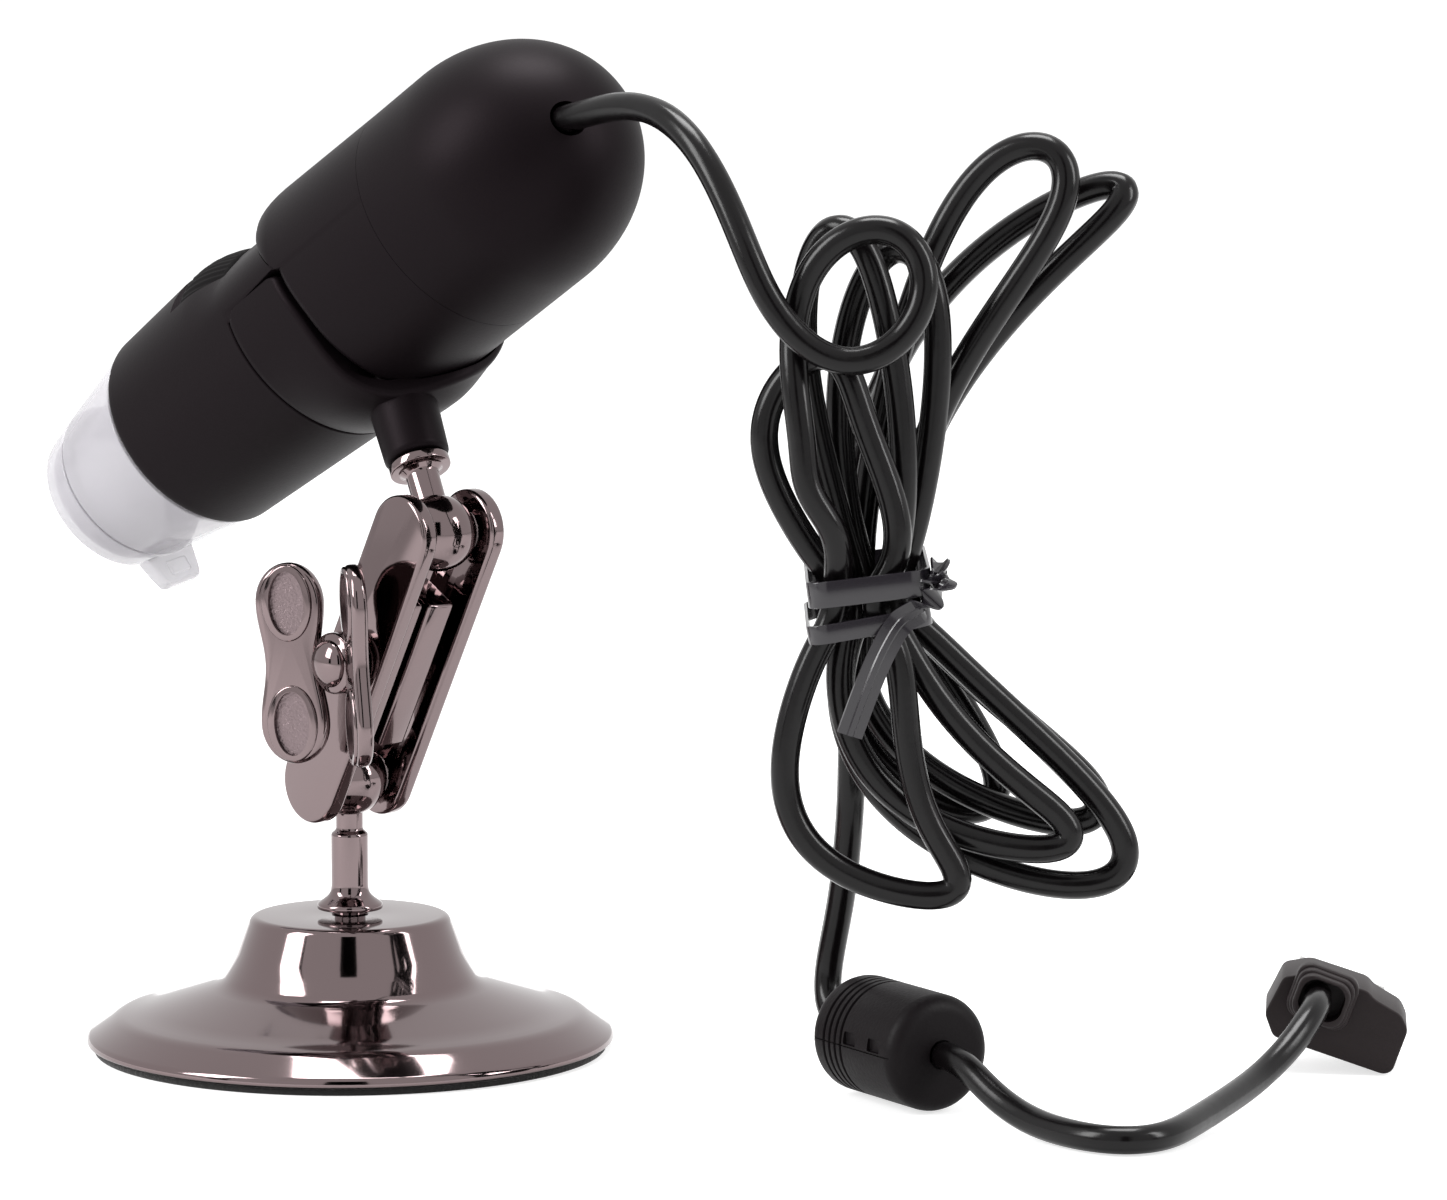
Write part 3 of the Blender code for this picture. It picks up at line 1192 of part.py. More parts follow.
def chamfered(width, height, corner):
    w, h = width / 2, height / 2
    return [
        (w - corner, -h), (w, -h + corner), (w, h - corner), (w - corner, h),
        (-w + corner, h), (-w, h - corner), (-w, -h + corner), (-w + corner, -h),
    ]


def build_plug(group):
    place = local_in(group, PLUG_FRAME)
    outline = [(x * PLUG_W / 2, y * PLUG_H / 2) for x, y in PLUG_OUTLINE_SHARES]
    shape = slab(outline, PLUG_LEN, PLUG_ROUND, True)
    body = add("plug_body", shape, group, MOULDED, place)
    collar = slab(chamfered(COLLAR_W, COLLAR_H, COLLAR_ROUND), COLLAR_LEN + PLUG_ROUND)
    join(body, collar, group, place @ Matrix.Translation((COLLAR_SIDE, COLLAR_LIFT, -COLLAR_LEN)))
    w, h, t = CONTACT_SHELL_W / 2, CONTACT_SHELL_H / 2, CONTACT_SHELL_T
    start = PLUG_LEN + GAP
    end = start + CONTACT_SHELL_LEN
    outer = add("plug_shell", block((-w, -h, start), (w, h, end)), group, STEEL, place)
    hollow = block((-w + t, -h + t, start - OVERRUN), (w - t, h - t, end + OVERRUN))
    cut(outer, hollow, group, place)
    half = TONGUE_W / 2
    low = -h + t + GAP
    tongue = block((-half, low, start), (half, low + TONGUE_H, end - GAP))
    add("plug_tongue", tongue, group, CHIP, place)


def build_tie(group):
    """A flat strip round the bundle."""
    strands = len(STRAND_OFFSET_SHARES)
    half_y = (strands - 1) / 2 * LAYER_PITCH + CORD_R + TIE_ROOM
    lows = [strand_x(k, -1) for k in range(strands)]
    highs = [strand_x(k, 1) for k in range(strands - 1)]
    middle = (min(lows) + max(highs)) / 2
    half_x = (max(highs) - min(lows)) / 2 + CORD_R + TIE_ROOM
    corner = CORD_R

    def outline(grow):
        points = []
        for cx, cy, start in ((1, 1, 0), (-1, 1, 90), (-1, -1, 180), (1, -1, 270)):
            x, y = cx * (half_x - corner), cy * (half_y - corner)
            points += arc(x, y, corner + grow, start, start + 90, TIE_STEPS // 4)
        return points

    ring = slab(outline(GAP + TIE_T), TIE_W)
    at = Matrix.Translation((middle, WAIST_AT[1], WAIST_AT[2] - TIE_W / 2))
    tie = add("twist_tie", ring, group, TIE, local_in(group, at))
    hollow = slab(outline(GAP), TIE_W + 2 * OVERRUN)
    cut(tie, hollow, group, local_in(group, at @ Matrix.Translation((0, 0, -OVERRUN))))


HEAD_FRAME = frame(UPPER_BALL, STUD_AXIS, BARREL_AXIS)


def build_head():
    group = guide("head_group", HEAD_FRAME)
    build_barrel(group)
    build_clip(group)
    build_tail(group)
    build_boards(group)
    build_light_ring(group)
    build_nozzle(group)
    build_focus()
    build_ferrite(group)
    build_plug(group)
    build_tie(group)
    bpy.context.view_layer.update()
    build_cord(group)


build_base()
build_post()
build_arm()
build_wing_nut()
build_stud()
build_head()
bpy.context.view_layer.update()
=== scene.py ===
"""Looks for the digital microscope: finer pieces, finishes, cord, studio and camera.

Profiles and places are in millimetres; the helpers turn them to metres.
"""

import math

import bmesh
import bpy
from mathutils import Matrix, Vector


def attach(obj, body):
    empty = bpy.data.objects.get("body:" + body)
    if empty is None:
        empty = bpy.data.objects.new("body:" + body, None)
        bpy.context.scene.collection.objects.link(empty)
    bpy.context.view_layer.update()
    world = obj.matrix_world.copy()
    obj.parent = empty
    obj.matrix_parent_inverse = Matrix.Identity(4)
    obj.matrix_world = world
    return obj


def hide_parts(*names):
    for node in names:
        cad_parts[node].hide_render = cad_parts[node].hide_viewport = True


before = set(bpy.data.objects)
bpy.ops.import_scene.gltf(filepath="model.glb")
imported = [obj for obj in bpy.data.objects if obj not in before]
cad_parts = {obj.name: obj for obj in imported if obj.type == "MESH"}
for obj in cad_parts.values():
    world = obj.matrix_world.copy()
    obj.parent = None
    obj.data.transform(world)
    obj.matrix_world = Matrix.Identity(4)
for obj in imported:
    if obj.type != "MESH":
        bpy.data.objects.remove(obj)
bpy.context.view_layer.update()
MM = 0.001
SHARP_EDGE = math.radians(32)

# Directions and places, as in the part's own frame
LOWER_BALL = Vector((0.0, 0.0, 36.2))
TURN = math.radians(48.0)
LEAN = math.radians(28.8)
ARM_LEN = 39.0
NEAR_NORMAL = Vector((-math.sin(TURN), -math.cos(TURN), 0.0))
LEVEL = Vector((math.cos(TURN), -math.sin(TURN), 0.0))
ARM_AXIS = Vector((0, 0, 1)) * math.cos(LEAN) + LEVEL * math.sin(LEAN)
UPPER_BALL = LOWER_BALL + ARM_AXIS * ARM_LEN
STUD_AXIS = Vector((-0.2600, 0.4972, 0.8278)).normalized()
BARREL_AXIS = Vector((0.6348, -0.5579, 0.5345)).normalized()
AXIS_HEIGHT = 37.18


def place_at(origin, x_axis, z_axis):
    """The matrix that stands at origin, in mm, with these x and z directions."""
    z = Vector(z_axis).normalized()
    x = Vector(x_axis)
    x = (x - z * x.dot(z)).normalized()
    matrix = Matrix((x, z.cross(x), z)).transposed().to_4x4()
    matrix.translation = Vector(origin)
    return matrix


ARM = place_at(LOWER_BALL, NEAR_NORMAL, ARM_AXIS)
STUD = place_at(UPPER_BALL, NEAR_NORMAL, STUD_AXIS)
HEAD = place_at(UPPER_BALL, STUD_AXIS, BARREL_AXIS)
BARREL = HEAD @ Matrix.Translation((AXIS_HEIGHT, 0, 0))
WING = place_at(LOWER_BALL + ARM_AXIS * (ARM_LEN / 2), LEVEL, NEAR_NORMAL)
WING = WING @ Matrix.Rotation(math.radians(4.0), 4, "Z")
HERE = Matrix.Identity(4)


# Finishes
def linear(hex_colour):
    """An sRGB hex colour as linear RGBA."""
    parts = [int(hex_colour[i : i + 2], 16) / 255 for i in (1, 3, 5)]
    parts = [c / 12.92 if c <= 0.04045 else ((c + 0.055) / 1.055) ** 2.4 for c in parts]
    return (*parts, 1.0)


def node(tree, kind, settings=(), links=()):
    """Adds a node; settings name its properties or sockets, links are (socket, source)."""
    new = tree.nodes.new(kind)
    for key, value in settings:
        if isinstance(key, str) and hasattr(new, key):
            setattr(new, key, value)
        else:
            new.inputs[key].default_value = value
    for key, source in links:
        tree.links.new(source, new.inputs[key])
    return new


def surface(name, colour, roughness, metallic=0.0, settings=()):
    """A material with one Principled shader, its plain numbers on the shader's sockets."""
    material = bpy.data.materials.new(name)
    material.use_nodes = True
    shader = material.node_tree.nodes["Principled BSDF"]
    shader.inputs["Base Color"].default_value = linear(colour)
    shader.inputs["Roughness"].default_value = roughness
    shader.inputs["Metallic"].default_value = metallic
    for key, value in settings:
        shader.inputs[key].default_value = value
    return material


def grain(material, scale, height, detail=2.0):
    """A fine bump over the whole surface; scale is in grains a metre."""
    tree = material.node_tree
    shader = tree.nodes["Principled BSDF"]
    where = node(tree, "ShaderNodeTexCoord")
    noise = node(
        tree, "ShaderNodeTexNoise", [("Scale", scale), ("Detail", detail)],
        [("Vector", where.outputs["Object"])],
    )
    bump = node(
        tree, "ShaderNodeBump", [("Strength", 1.0), ("Distance", height)],
        [("Height", noise.outputs["Fac"])],
    )
    tree.links.new(bump.outputs["Normal"], shader.inputs["Normal"])
    return noise


def mottle(material, noise, dark, light):
    """Lets a noise move the roughness between two values."""
    tree = material.node_tree
    spread = node(
        tree, "ShaderNodeMapRange", [("To Min", dark), ("To Max", light)],
        [("Value", noise.outputs["Fac"])],
    )
    tree.links.new(spread.outputs["Result"], tree.nodes["Principled BSDF"].inputs["Roughness"])


# Black nickel plate on polished steel: a warm dark mirror
black_nickel = surface("black_nickel", "#7a6c6d", 0.08, 1.0)
# The same plate over a blasted pad: grainy and dull
blasted_nickel = surface("blasted_nickel", "#7c6e70", 0.34, 1.0)
grain(blasted_nickel, 2600.0, 0.00010)
# Soft-touch paint on ABS: near black, with a broad low sheen
soft_touch = surface(
    "soft_touch_paint", "#0d090b", 0.46, 0.0,
    [("Specular IOR Level", 0.08), ("Specular Tint", (1.0, 0.80, 0.90, 1.0))],
)
mottle(soft_touch, grain(soft_touch, 3000.0, 0.000010), 0.43, 0.50)
# Ribbed nylon wheel
wheel_nylon = surface("ribbed_nylon", "#080607", 0.60, 0.0, [("Specular IOR Level", 0.06)])
grain(wheel_nylon, 2500.0, 0.00002)
# Clear acrylic, moulded: milky lavender grey, with bright rims
clear_acrylic = surface(
    "clear_acrylic", "#c4c1c7", 0.12, 0.0,
    [("Alpha", 0.56), ("Specular IOR Level", 0.35), ("Coat Weight", 0.3)],
)
# Crown glass, polished
lens_glass = surface(
    "lens_glass", "#eef6f8", 0.01, 0.0, [("Transmission Weight", 1.0), ("IOR", 1.52)]
)
# Plasticised PVC: black with a wet, wavy gloss
cord_pvc = surface("cord_pvc", "#080607", 0.22, 0.0, [("Specular IOR Level", 0.24)])
mottle(cord_pvc, grain(cord_pvc, 420.0, 0.00003, 3.0), 0.16, 0.29)
# Moulded ABS with a fine spark finish
moulded_abs = surface("moulded_abs", "#0f0b0d", 0.44, 0.0, [("Specular IOR Level", 0.11)])
mottle(moulded_abs, grain(moulded_abs, 2400.0, 0.00003), 0.40, 0.55)
# Overmoulded PVC of the plug: greyer and duller than the cord
plug_pvc = surface("plug_pvc", "#1f1819", 0.50, 0.0, [("Specular IOR Level", 0.20)])
grain(plug_pvc, 2600.0, 0.00002)
# PVC strip over a wire: thin, smoky and shiny
tie_strip = surface("tie_strip", "#1f1c21", 0.24, 0.0, [("Coat Weight", 0.2)])
# Needled felt: black fibres that scatter light
felt = surface("black_felt", "#1a1919", 0.95, 0.0, [("Sheen Weight", 0.4)])
grain(felt, 1800.0, 0.0002, 6.0)
# Grey cast iron, as cast
cast_iron = surface("cast_iron", "#4b4a4b", 0.62, 1.0)
grain(cast_iron, 900.0, 0.0001)
# Epoxy board under green solder mask
solder_mask = surface("solder_mask", "#1f5a34", 0.35, 0.0, [("Coat Weight", 0.4)])
# Epoxy moulding compound
chip_epoxy = surface("chip_epoxy", "#1c1c1d", 0.40)
# Sintered ferrite: dark grey ceramic
ferrite = surface("sintered_ferrite", "#363434", 0.50)
# White lamp under clear epoxy
lamp_epoxy = surface(
    "lamp_epoxy", "#f4f3e8", 0.12, 0.0,
    [("Emission Color", (1, 1, 1, 1)), ("Emission Strength", 0.15)],
)
# Tin-plated steel
tin_plate = surface("tin_plate", "#c9c8c6", 0.22, 1.0)


# Shapes
def linked(name, data):
    """A new object in the scene."""
    new = bpy.data.objects.new(name, data)
    bpy.context.scene.collection.objects.link(new)
    return new


def mesh_from(name, bm):
    """Turns a bmesh into a mesh and frees it."""
    mesh = bpy.data.meshes.new(name)
    bm.to_mesh(mesh)
    bm.free()
    return mesh


def put_in_place(bm, place):
    """Moves a shape in mm to its place in the part, in metres."""
    bmesh.ops.recalc_face_normals(bm, faces=bm.faces)
    bmesh.ops.transform(bm, matrix=place, verts=bm.verts)
    bmesh.ops.scale(bm, vec=(MM, MM, MM), verts=bm.verts)


def smoothed(mesh):
    """Shades a mesh smooth up to its sharp edges."""
    mesh.shade_smooth()
    mesh.set_sharp_from_angle(angle=SHARP_EDGE)
    return mesh


def piece(name, bm, place, material, body, *nodes):
    """Turns a bmesh in mm into a finished piece that rides on a body."""
    bmesh.ops.remove_doubles(bm, verts=bm.verts, dist=0.0005)
    put_in_place(bm, place)
    mesh = mesh_from(name, bm)
    mesh.materials.append(material)
    new = linked(name, smoothed(mesh))
    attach(new, body)
    if nodes:
        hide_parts(*nodes)
    return new


def carve(target, bm, place, operation="DIFFERENCE"):
    """Cuts a shape out of a piece, or joins it on, and leaves a plain mesh."""
    put_in_place(bm, place)
    cutter = linked("cutter", mesh_from("cutter", bm))
    modifier = target.modifiers.new("cut", "BOOLEAN")
    modifier.operation = operation
    modifier.object = cutter
    modifier.solver = "EXACT"
    bpy.context.view_layer.update()
    seen = target.evaluated_get(bpy.context.evaluated_depsgraph_get())
    result = bpy.data.meshes.new_from_object(seen)
    target.modifiers.clear()
    target.data = smoothed(result)
    bpy.data.objects.remove(cutter, do_unlink=True)
    return target


def eased_corners(corners, count=5, closed=True):
    """Softens each (r, z, easing) corner with a curve that starts that far from it."""
    points = []
    total = len(corners)
    for i, (r, z, easing) in enumerate(corners):
        here = Vector((r, z))
        if not easing or (not closed and i in (0, total - 1)):
            points.append((r, z))
            continue
        before = Vector(corners[i - 1][:2]) - here
        after = Vector(corners[(i + 1) % total][:2]) - here
        start = here + before.normalized() * min(easing, before.length * 0.49)
        end = here + after.normalized() * min(easing, after.length * 0.49)
        for k in range(count + 1):
            t = k / count
            bend = start * (1 - t) ** 2 + here * 2 * t * (1 - t) + end * t**2
            points.append((bend.x, bend.y))
    return points


def arc(centre_r, centre_z, radius, start_deg, end_deg, count):
    """Profile points on a round stretch."""
    points = []
    for i in range(count + 1):
        angle = math.radians(start_deg + (end_deg - start_deg) * i / count)
        points.append((centre_r + radius * math.cos(angle), centre_z + radius * math.sin(angle)))
    return points


def spun(profile, steps=96, sweep=math.tau, start=0.0):
    """Spins a closed (r, z) profile about Z, all the way or part of it."""
    bm = bmesh.new()
    turn = Matrix.Rotation(start, 3, "Z")
    verts = [bm.verts.new(turn @ Vector((r, 0.0, z))) for r, z in profile]
    whole = sweep >= math.tau
    if whole:
        for i, vert in enumerate(verts):
            after = (i + 1) % len(verts)
            if max(profile[i][0], profile[after][0]) > 0.0001:
                bm.edges.new((vert, verts[after]))
    else:
        bm.faces.new(verts)
    bmesh.ops.spin(
        bm, geom=bm.verts[:] + bm.edges[:] + bm.faces[:], cent=(0, 0, 0), axis=(0, 0, 1),
        angle=sweep, steps=steps, use_merge=whole,
    )
    bmesh.ops.remove_doubles(bm, verts=bm.verts, dist=0.0005)
    return bm


def cylinder(radius, low, high, steps=64):
    """A plain round rod along Z."""
    return spun([(0.0, low), (radius, low), (radius, high), (0.0, high)], steps)


def slab(outline, depth, easing=0.0, segments=4, both=True):
    """An XY outline raised along Z, with its flat faces' edges rounded."""
    bm = bmesh.new()
    face = bm.faces.new([bm.verts.new((x, y, 0.0)) for x, y in outline])
    raised = bmesh.ops.extrude_face_region(bm, geom=[face])["geom"]
    tops = [v for v in raised if isinstance(v, bmesh.types.BMVert)]
    bmesh.ops.translate(bm, vec=(0, 0, depth), verts=tops)
    if easing:
        rims = [e for e in bm.edges if abs(e.verts[0].co.z - e.verts[1].co.z) < 0.0001]
        if not both:
            rims = [e for e in rims if e.verts[0].co.z > depth / 2]
        bmesh.ops.bevel(
            bm, geom=rims, offset=easing, segments=segments, profile=0.5,
            affect="EDGES", material=-1, clamp_overlap=True,
        )
    return bm


def block(low, high, easing=0.0, segments=3):
    """A box between two corners with rounded edges."""
    bm = bmesh.new()
    bmesh.ops.create_cube(bm, size=1.0)
    bmesh.ops.scale(bm, vec=Vector(high) - Vector(low), verts=bm.verts)
    bmesh.ops.translate(bm, vec=(Vector(high) + Vector(low)) / 2, verts=bm.verts)
    if easing:
        bmesh.ops.bevel(
            bm, geom=bm.edges[:], offset=easing, segments=segments, profile=0.5,
            affect="EDGES", material=-1, clamp_overlap=True,
        )
    return bm


def along_x(origin=(0.0, 0.0, 0.0)):
    """The place that lays a spun shape's axis along X."""
    return place_at(origin, (0, 0, -1), (1, 0, 0))


def rounded_box(reach_x, reach_y, radius, count):
    """An XY outline round four corner centres."""
    points = []
    for cx, cy, a in ((1, 1, 0), (-1, 1, 90), (-1, -1, 180), (1, -1, 270)):
        points += arc(cx * reach_x, cy * reach_y, radius, a, a + 90, count)
    return points


def between(p0, p1, p2, p3, t):
    """The point at t from p1 to p2, on a smooth curve through all four."""
    return 0.5 * (
        2 * p1 + (p2 - p0) * t + (2 * p0 - 5 * p1 + 4 * p2 - p3) * t**2
        + (3 * p1 - p0 - 3 * p2 + p3) * t**3
    )


# Camera, studio and floor
SENSOR_W = 36.0
FOCAL_PIXELS = 6759.0
PHOTO_W = 1447.0


def seen_rays(tree):
    """The light path, and 1 for camera, mirror and see-through rays."""
    path = node(tree, "ShaderNodeLightPath")
    seen = node(
        tree, "ShaderNodeMath", [("operation", "MAXIMUM")],
        [(0, path.outputs["Is Camera Ray"]), (1, path.outputs["Is Glossy Ray"])],
    )
    seen = node(
        tree, "ShaderNodeMath", [("operation", "MAXIMUM")],
        [(0, seen.outputs[0]), (1, path.outputs["Is Transmission Ray"])],
    )
    return path, seen


def build_studio():
    """The camera that took the photo, three softboxes, white paper and black cards."""
    scene = bpy.context.scene
    scene.view_settings.view_transform = "Standard"
    lens = bpy.data.cameras.new("camera")
    lens.sensor_width = SENSOR_W
    lens.lens = SENSOR_W * FOCAL_PIXELS / PHOTO_W
    lens.clip_end = 20.0
    camera = linked("camera", lens)
    camera.location = (0.0496, -0.8860, 0.1687)
    camera.rotation_euler = (math.radians(83.0), 0.0, 0.0)
    scene.camera = camera

    world = bpy.data.worlds.new("studio")
    scene.world = world
    world.use_nodes = True
    tree = world.node_tree
    tree.nodes.clear()
    _, seen = seen_rays(tree)
    white = node(tree, "ShaderNodeBackground", [("Color", (1, 1, 1, 1)), ("Strength", 1.0)])
    soft = node(tree, "ShaderNodeBackground", [("Color", (1, 1, 1, 1)), ("Strength", 0.55)])
    mixed = node(
        tree, "ShaderNodeMixShader", [],
        [(0, seen.outputs[0]), (1, soft.outputs[0]), (2, white.outputs[0])],
    )
    node(tree, "ShaderNodeOutputWorld", [], [("Surface", mixed.outputs[0])])

    middle = Vector((0.04, -0.02, 0.07))
    for name, place, size, watts in (
        ("softbox_left", (-0.75, -0.35, 0.55), (0.34, 0.62), 8.0),
        ("softbox_right", (0.85, -0.30, 0.50), (0.20, 0.62), 5.0),
        ("softbox_top", (0.05, 0.15, 0.95), (0.50, 0.36), 8.0),
    ):
        light = bpy.data.lights.new(name, "AREA")
        light.shape = "RECTANGLE"
        light.size, light.size_y = size
        light.energy = watts
        lamp = linked(name, light)
        lamp.location = place
        lamp.rotation_euler = (middle - Vector(place)).to_track_quat("-Z", "Y").to_euler()

    paper = surface("white_paper", "#cfcfcf", 0.9)
    tree = paper.node_tree
    shader = tree.nodes["Principled BSDF"]
    path, seen = seen_rays(tree)
    shader.inputs["Emission Color"].default_value = (1, 1, 1, 1)
    glow = node(
        tree, "ShaderNodeMath", [("operation", "MULTIPLY"), (1, 0.42)], [(0, seen.outputs[0])]
    )
    glow = node(
        tree, "ShaderNodeMath", [("operation", "MULTIPLY_ADD"), (1, 0.25)],
        [(0, path.outputs["Is Camera Ray"]), (2, glow.outputs[0])],
    )
    tree.links.new(glow.outputs[0], shader.inputs["Emission Strength"])
    bm = bmesh.new()
    bmesh.ops.create_grid(bm, x_segments=1, y_segments=1, size=6.0)
    floor = linked("floor", mesh_from("floor", bm))
    floor.data.materials.append(paper)

    curtain = surface("black_curtain", "#050505", 1.0, 0.0, [("Specular IOR Level", 0.0)])
    for name, x, y, width, height in (
        ("curtain_front", 0.05, -2.6, 0.85, 2.2),
        ("curtain_left", -2.2, -1.5, 0.45, 2.2),
        ("curtain_right", 2.2, -1.2, 0.35, 2.2),
    ):
        bm = bmesh.new()
        bmesh.ops.create_grid(bm, x_segments=1, y_segments=1, size=0.5)
        out = Vector((x, y, 0)).normalized()
        turn = place_at((x, y, height / 2 + 0.02), (-out.y, out.x, 0), -out)
        stretch = Matrix.Diagonal((width, height, 1.0, 1.0))
        bmesh.ops.transform(bm, matrix=turn @ stretch, verts=bm.verts)
        card = linked(name, mesh_from(name, bm))
        card.data.materials.append(curtain)
        card.visible_camera = False
        card.visible_diffuse = False
        card.visible_transmission = False
        card.visible_shadow = False


# Cord routes, in metres, as in the part's source
CORD_R = 0.0018
LEAD_ROUTE = [
    (0.0362, -0.0346, 0.1268), (0.0402, -0.0395, 0.1267), (0.0433, -0.0440, 0.1253),
    (0.0462, -0.0478, 0.1224), (0.0486, -0.0506, 0.1186), (0.0508, -0.0531, 0.1140),
    (0.0526, -0.0550, 0.1096), (0.0546, -0.0564, 0.1050), (0.0572, -0.0574, 0.1010),
    (0.0606, -0.0578, 0.0978), (0.0643, -0.0578, 0.0962), (0.0681, -0.0574, 0.0967),
    (0.0716, -0.0569, 0.0991), (0.0741, -0.0564, 0.1031), (0.0746, -0.0560, 0.1073),
    (0.0731, -0.0554, 0.1109), (0.0703, -0.0549, 0.1128), (0.0665, -0.0543, 0.1127),
    (0.0626, -0.0537, 0.1104), (0.0600, -0.0532, 0.1069), (0.0586, -0.0530, 0.1026),
    (0.0581, -0.0542, 0.0975), (0.0586, -0.0556, 0.0920),
]
DROP_ROUTE = [
    (0.0659, -0.0308, 0.0384), (0.0656, -0.0288, 0.0330), (0.0651, -0.0258, 0.0265),
    (0.0643, -0.0230, 0.0207), (0.0634, -0.0213, 0.0157), (0.0629, -0.0215, 0.0115),
    (0.0635, -0.0236, 0.0084),
]
TAIL_ROUTE = [
    (0.0807, -0.0522, 0.0068), (0.0833, -0.0556, 0.0044), (0.0872, -0.0603, 0.0024),
    (0.0915, -0.0662, 0.0019), (0.0958, -0.0706, 0.0019), (0.1000, -0.0718, 0.0019),
    (0.1045, -0.0683, 0.0020), (0.1100, -0.0570, 0.0024), (0.1153, -0.0462, 0.0033),
    (0.1180, -0.0412, 0.0042), (0.1208, -0.0375, 0.0060), (0.1232, -0.0348, 0.0081),
    (0.1248, -0.0325, 0.0101),
]
WAIST_AT = (0.0684, -0.0417, 0.0657)
LAYER_PITCH = 0.0041
STRAND_HALF_STEP = 0.0022
WAIST_STRAIGHT = 0.0040
HANK_TOP_H = 0.0840
HANK_END_H = 0.0460
HANK_END_X = 0.0660
HANK_TOP_X = 0.0596
LOBE_POINTS = 24
HANK_REACH = 0.0500
TOP_LOBE_SHARES = [
    (-0.12, 0.632, 0.112, -0.09, 0.0),
    (-0.088, 0.946, 0.081, -0.03, 0.25),
    (0.074, 0.888, 0.086, 0.0, 0.25),
    (0.44, 1.13, 0.085, 0.02, 2.6),
    (0.65, 1.03, 0.045, -0.04, 1.2),
]
LOW_LOBE_SHARES = [
    (0.21, -0.734, 0.120, 0.12, 0.10),
    (0.508, -0.62, 0.092, 0.05, 0.25),
    (0.625, -0.715, 0.162, 0.0, 0.25),
    (0.58, -0.58, 0.097, 0.0, 0.25),
    (0.30, -0.572, 0.092, 0.0, 0.25),
]
STRAND_OFFSET_SHARES = [-0.05, -0.015, 0.01, 0.03, 0.015, -0.01]


def strand_x(layer, side):
    """Where a strand passes the tie, from left to right."""
    return WAIST_AT[0] + STRAND_OFFSET_SHARES[layer] * HANK_REACH + side * STRAND_HALF_STEP


def layer_y(layer):
    """How far back a layer of strands lies."""
    return WAIST_AT[1] + (layer - (len(STRAND_OFFSET_SHARES) - 1) / 2) * LAYER_PITCH


def eased(u, wait):
    """A share from 0 to 1 that waits at both ends."""
    share = min(max((u - wait) / (1 - 2 * wait), 0.0), 1.0)
    return (1 - math.cos(math.pi * share)) / 2


def lobe(start, end, shares):
    """One lobe from a strand at the tie, out to the tip and back to the next strand."""
    target = Vector(WAIST_AT) + Vector((shares[0], 0, shares[1])) * HANK_REACH
    tip = target - (start + end) / 2
    tip.y = 0.0
    across = Vector((-tip.z, 0, tip.x)).normalized()
    swing = shares[2] * HANK_REACH
    bow = shares[3] * HANK_REACH
    gather = shares[4]
    far = (2 * gather + 1) / (2 * gather + 2)
    widest = 2 * math.sqrt(far * (1 - far)) * far**gather
    turn = 1 if (start - end).dot(across) > 0 else -1
    points = []
    for i in range(LOBE_POINTS + 1):
        u = i / LOBE_POINTS
        out = (1 - math.cos(math.tau * u)) / 2
        base = start.lerp(end, eased(u, 0.25))
        base.y = start.y + (end.y - start.y) * eased(u, 0.38)
        side = turn * swing * math.sin(math.tau * u) * out**gather / widest
        lean = out * out * (1 - out)
        level = Vector((tip.x * out * out, 0, tip.z * out))
        points.append(base + level + across * (side - bow * 6 * lean))
    return points


def hank_points():
    """All the strands in order: down, up, down, one layer further back each time."""
    lift = Vector((0, 0, WAIST_STRAIGHT / 2))
    waist_h = WAIST_AT[2]
    layers = len(LOW_LOBE_SHARES)
    front = layer_y(-1)
    first = strand_x(0, -1)
    route = [
        Vector((HANK_TOP_X, front, HANK_TOP_H)),
        Vector((HANK_TOP_X, front, HANK_TOP_H - 2 * CORD_R)),
        Vector((first, front + LAYER_PITCH / 4, (HANK_TOP_H + waist_h) / 2)),
    ]
    for layer in range(layers):
        left = Vector((strand_x(layer, -1), layer_y(layer), waist_h))
        right = Vector((strand_x(layer, 1), layer_y(layer), waist_h))
        following = Vector((strand_x(layer + 1, -1), layer_y(layer + 1), waist_h))
        if layer == 0:
            route.append(left + lift)
        route += lobe(left - lift, right - lift, LOW_LOBE_SHARES[layer])
        route += lobe(right + lift, following + lift, TOP_LOBE_SHARES[layer])
    last = Vector((strand_x(layers, -1), layer_y(layers), waist_h))
    route.append(last - lift)
    route.append(Vector((HANK_END_X, layer_y(layers), HANK_END_H + 2 * CORD_R)))
    route.append(Vector((HANK_END_X, layer_y(layers), HANK_END_H)))
    return route


def curve_through(known, steps):
    """Points on a smooth curve through the given ones, so many to each stretch."""
    padded = [2 * known[0] - known[1]] + known + [2 * known[-1] - known[-2]]
    dense = []
    for i in range(1, len(padded) - 2):
        p0, p1, p2, p3 = padded[i - 1 : i + 3]
        for j in range(steps):
            dense.append(between(p0, p1, p2, p3, j / steps))
    return dense + [known[-1]]


def smooth_route(points, spacing):
    """An evenly spaced, smoothed route past the given points, then drawn three times finer."""
    dense = curve_through([Vector(p) for p in points], 12)
    even = [dense[0]]
    left = spacing
    for a, b in zip(dense, dense[1:]):
        length = (b - a).length
        while left <= length:
            a = a.lerp(b, left / length)
            length = (b - a).length
            even.append(a.copy())
            left = spacing
        left -= length
    if (even[-1] - dense[-1]).length < spacing * 0.4:
        even.pop()
    even.append(dense[-1])
    for _ in range(6):
        even = (
            even[:2]
            + [(a + 2 * b + c) / 4 for a, b, c in zip(even[1:], even[2:], even[3:])]
            + even[-1:]
        )
    return curve_through(even, 3)


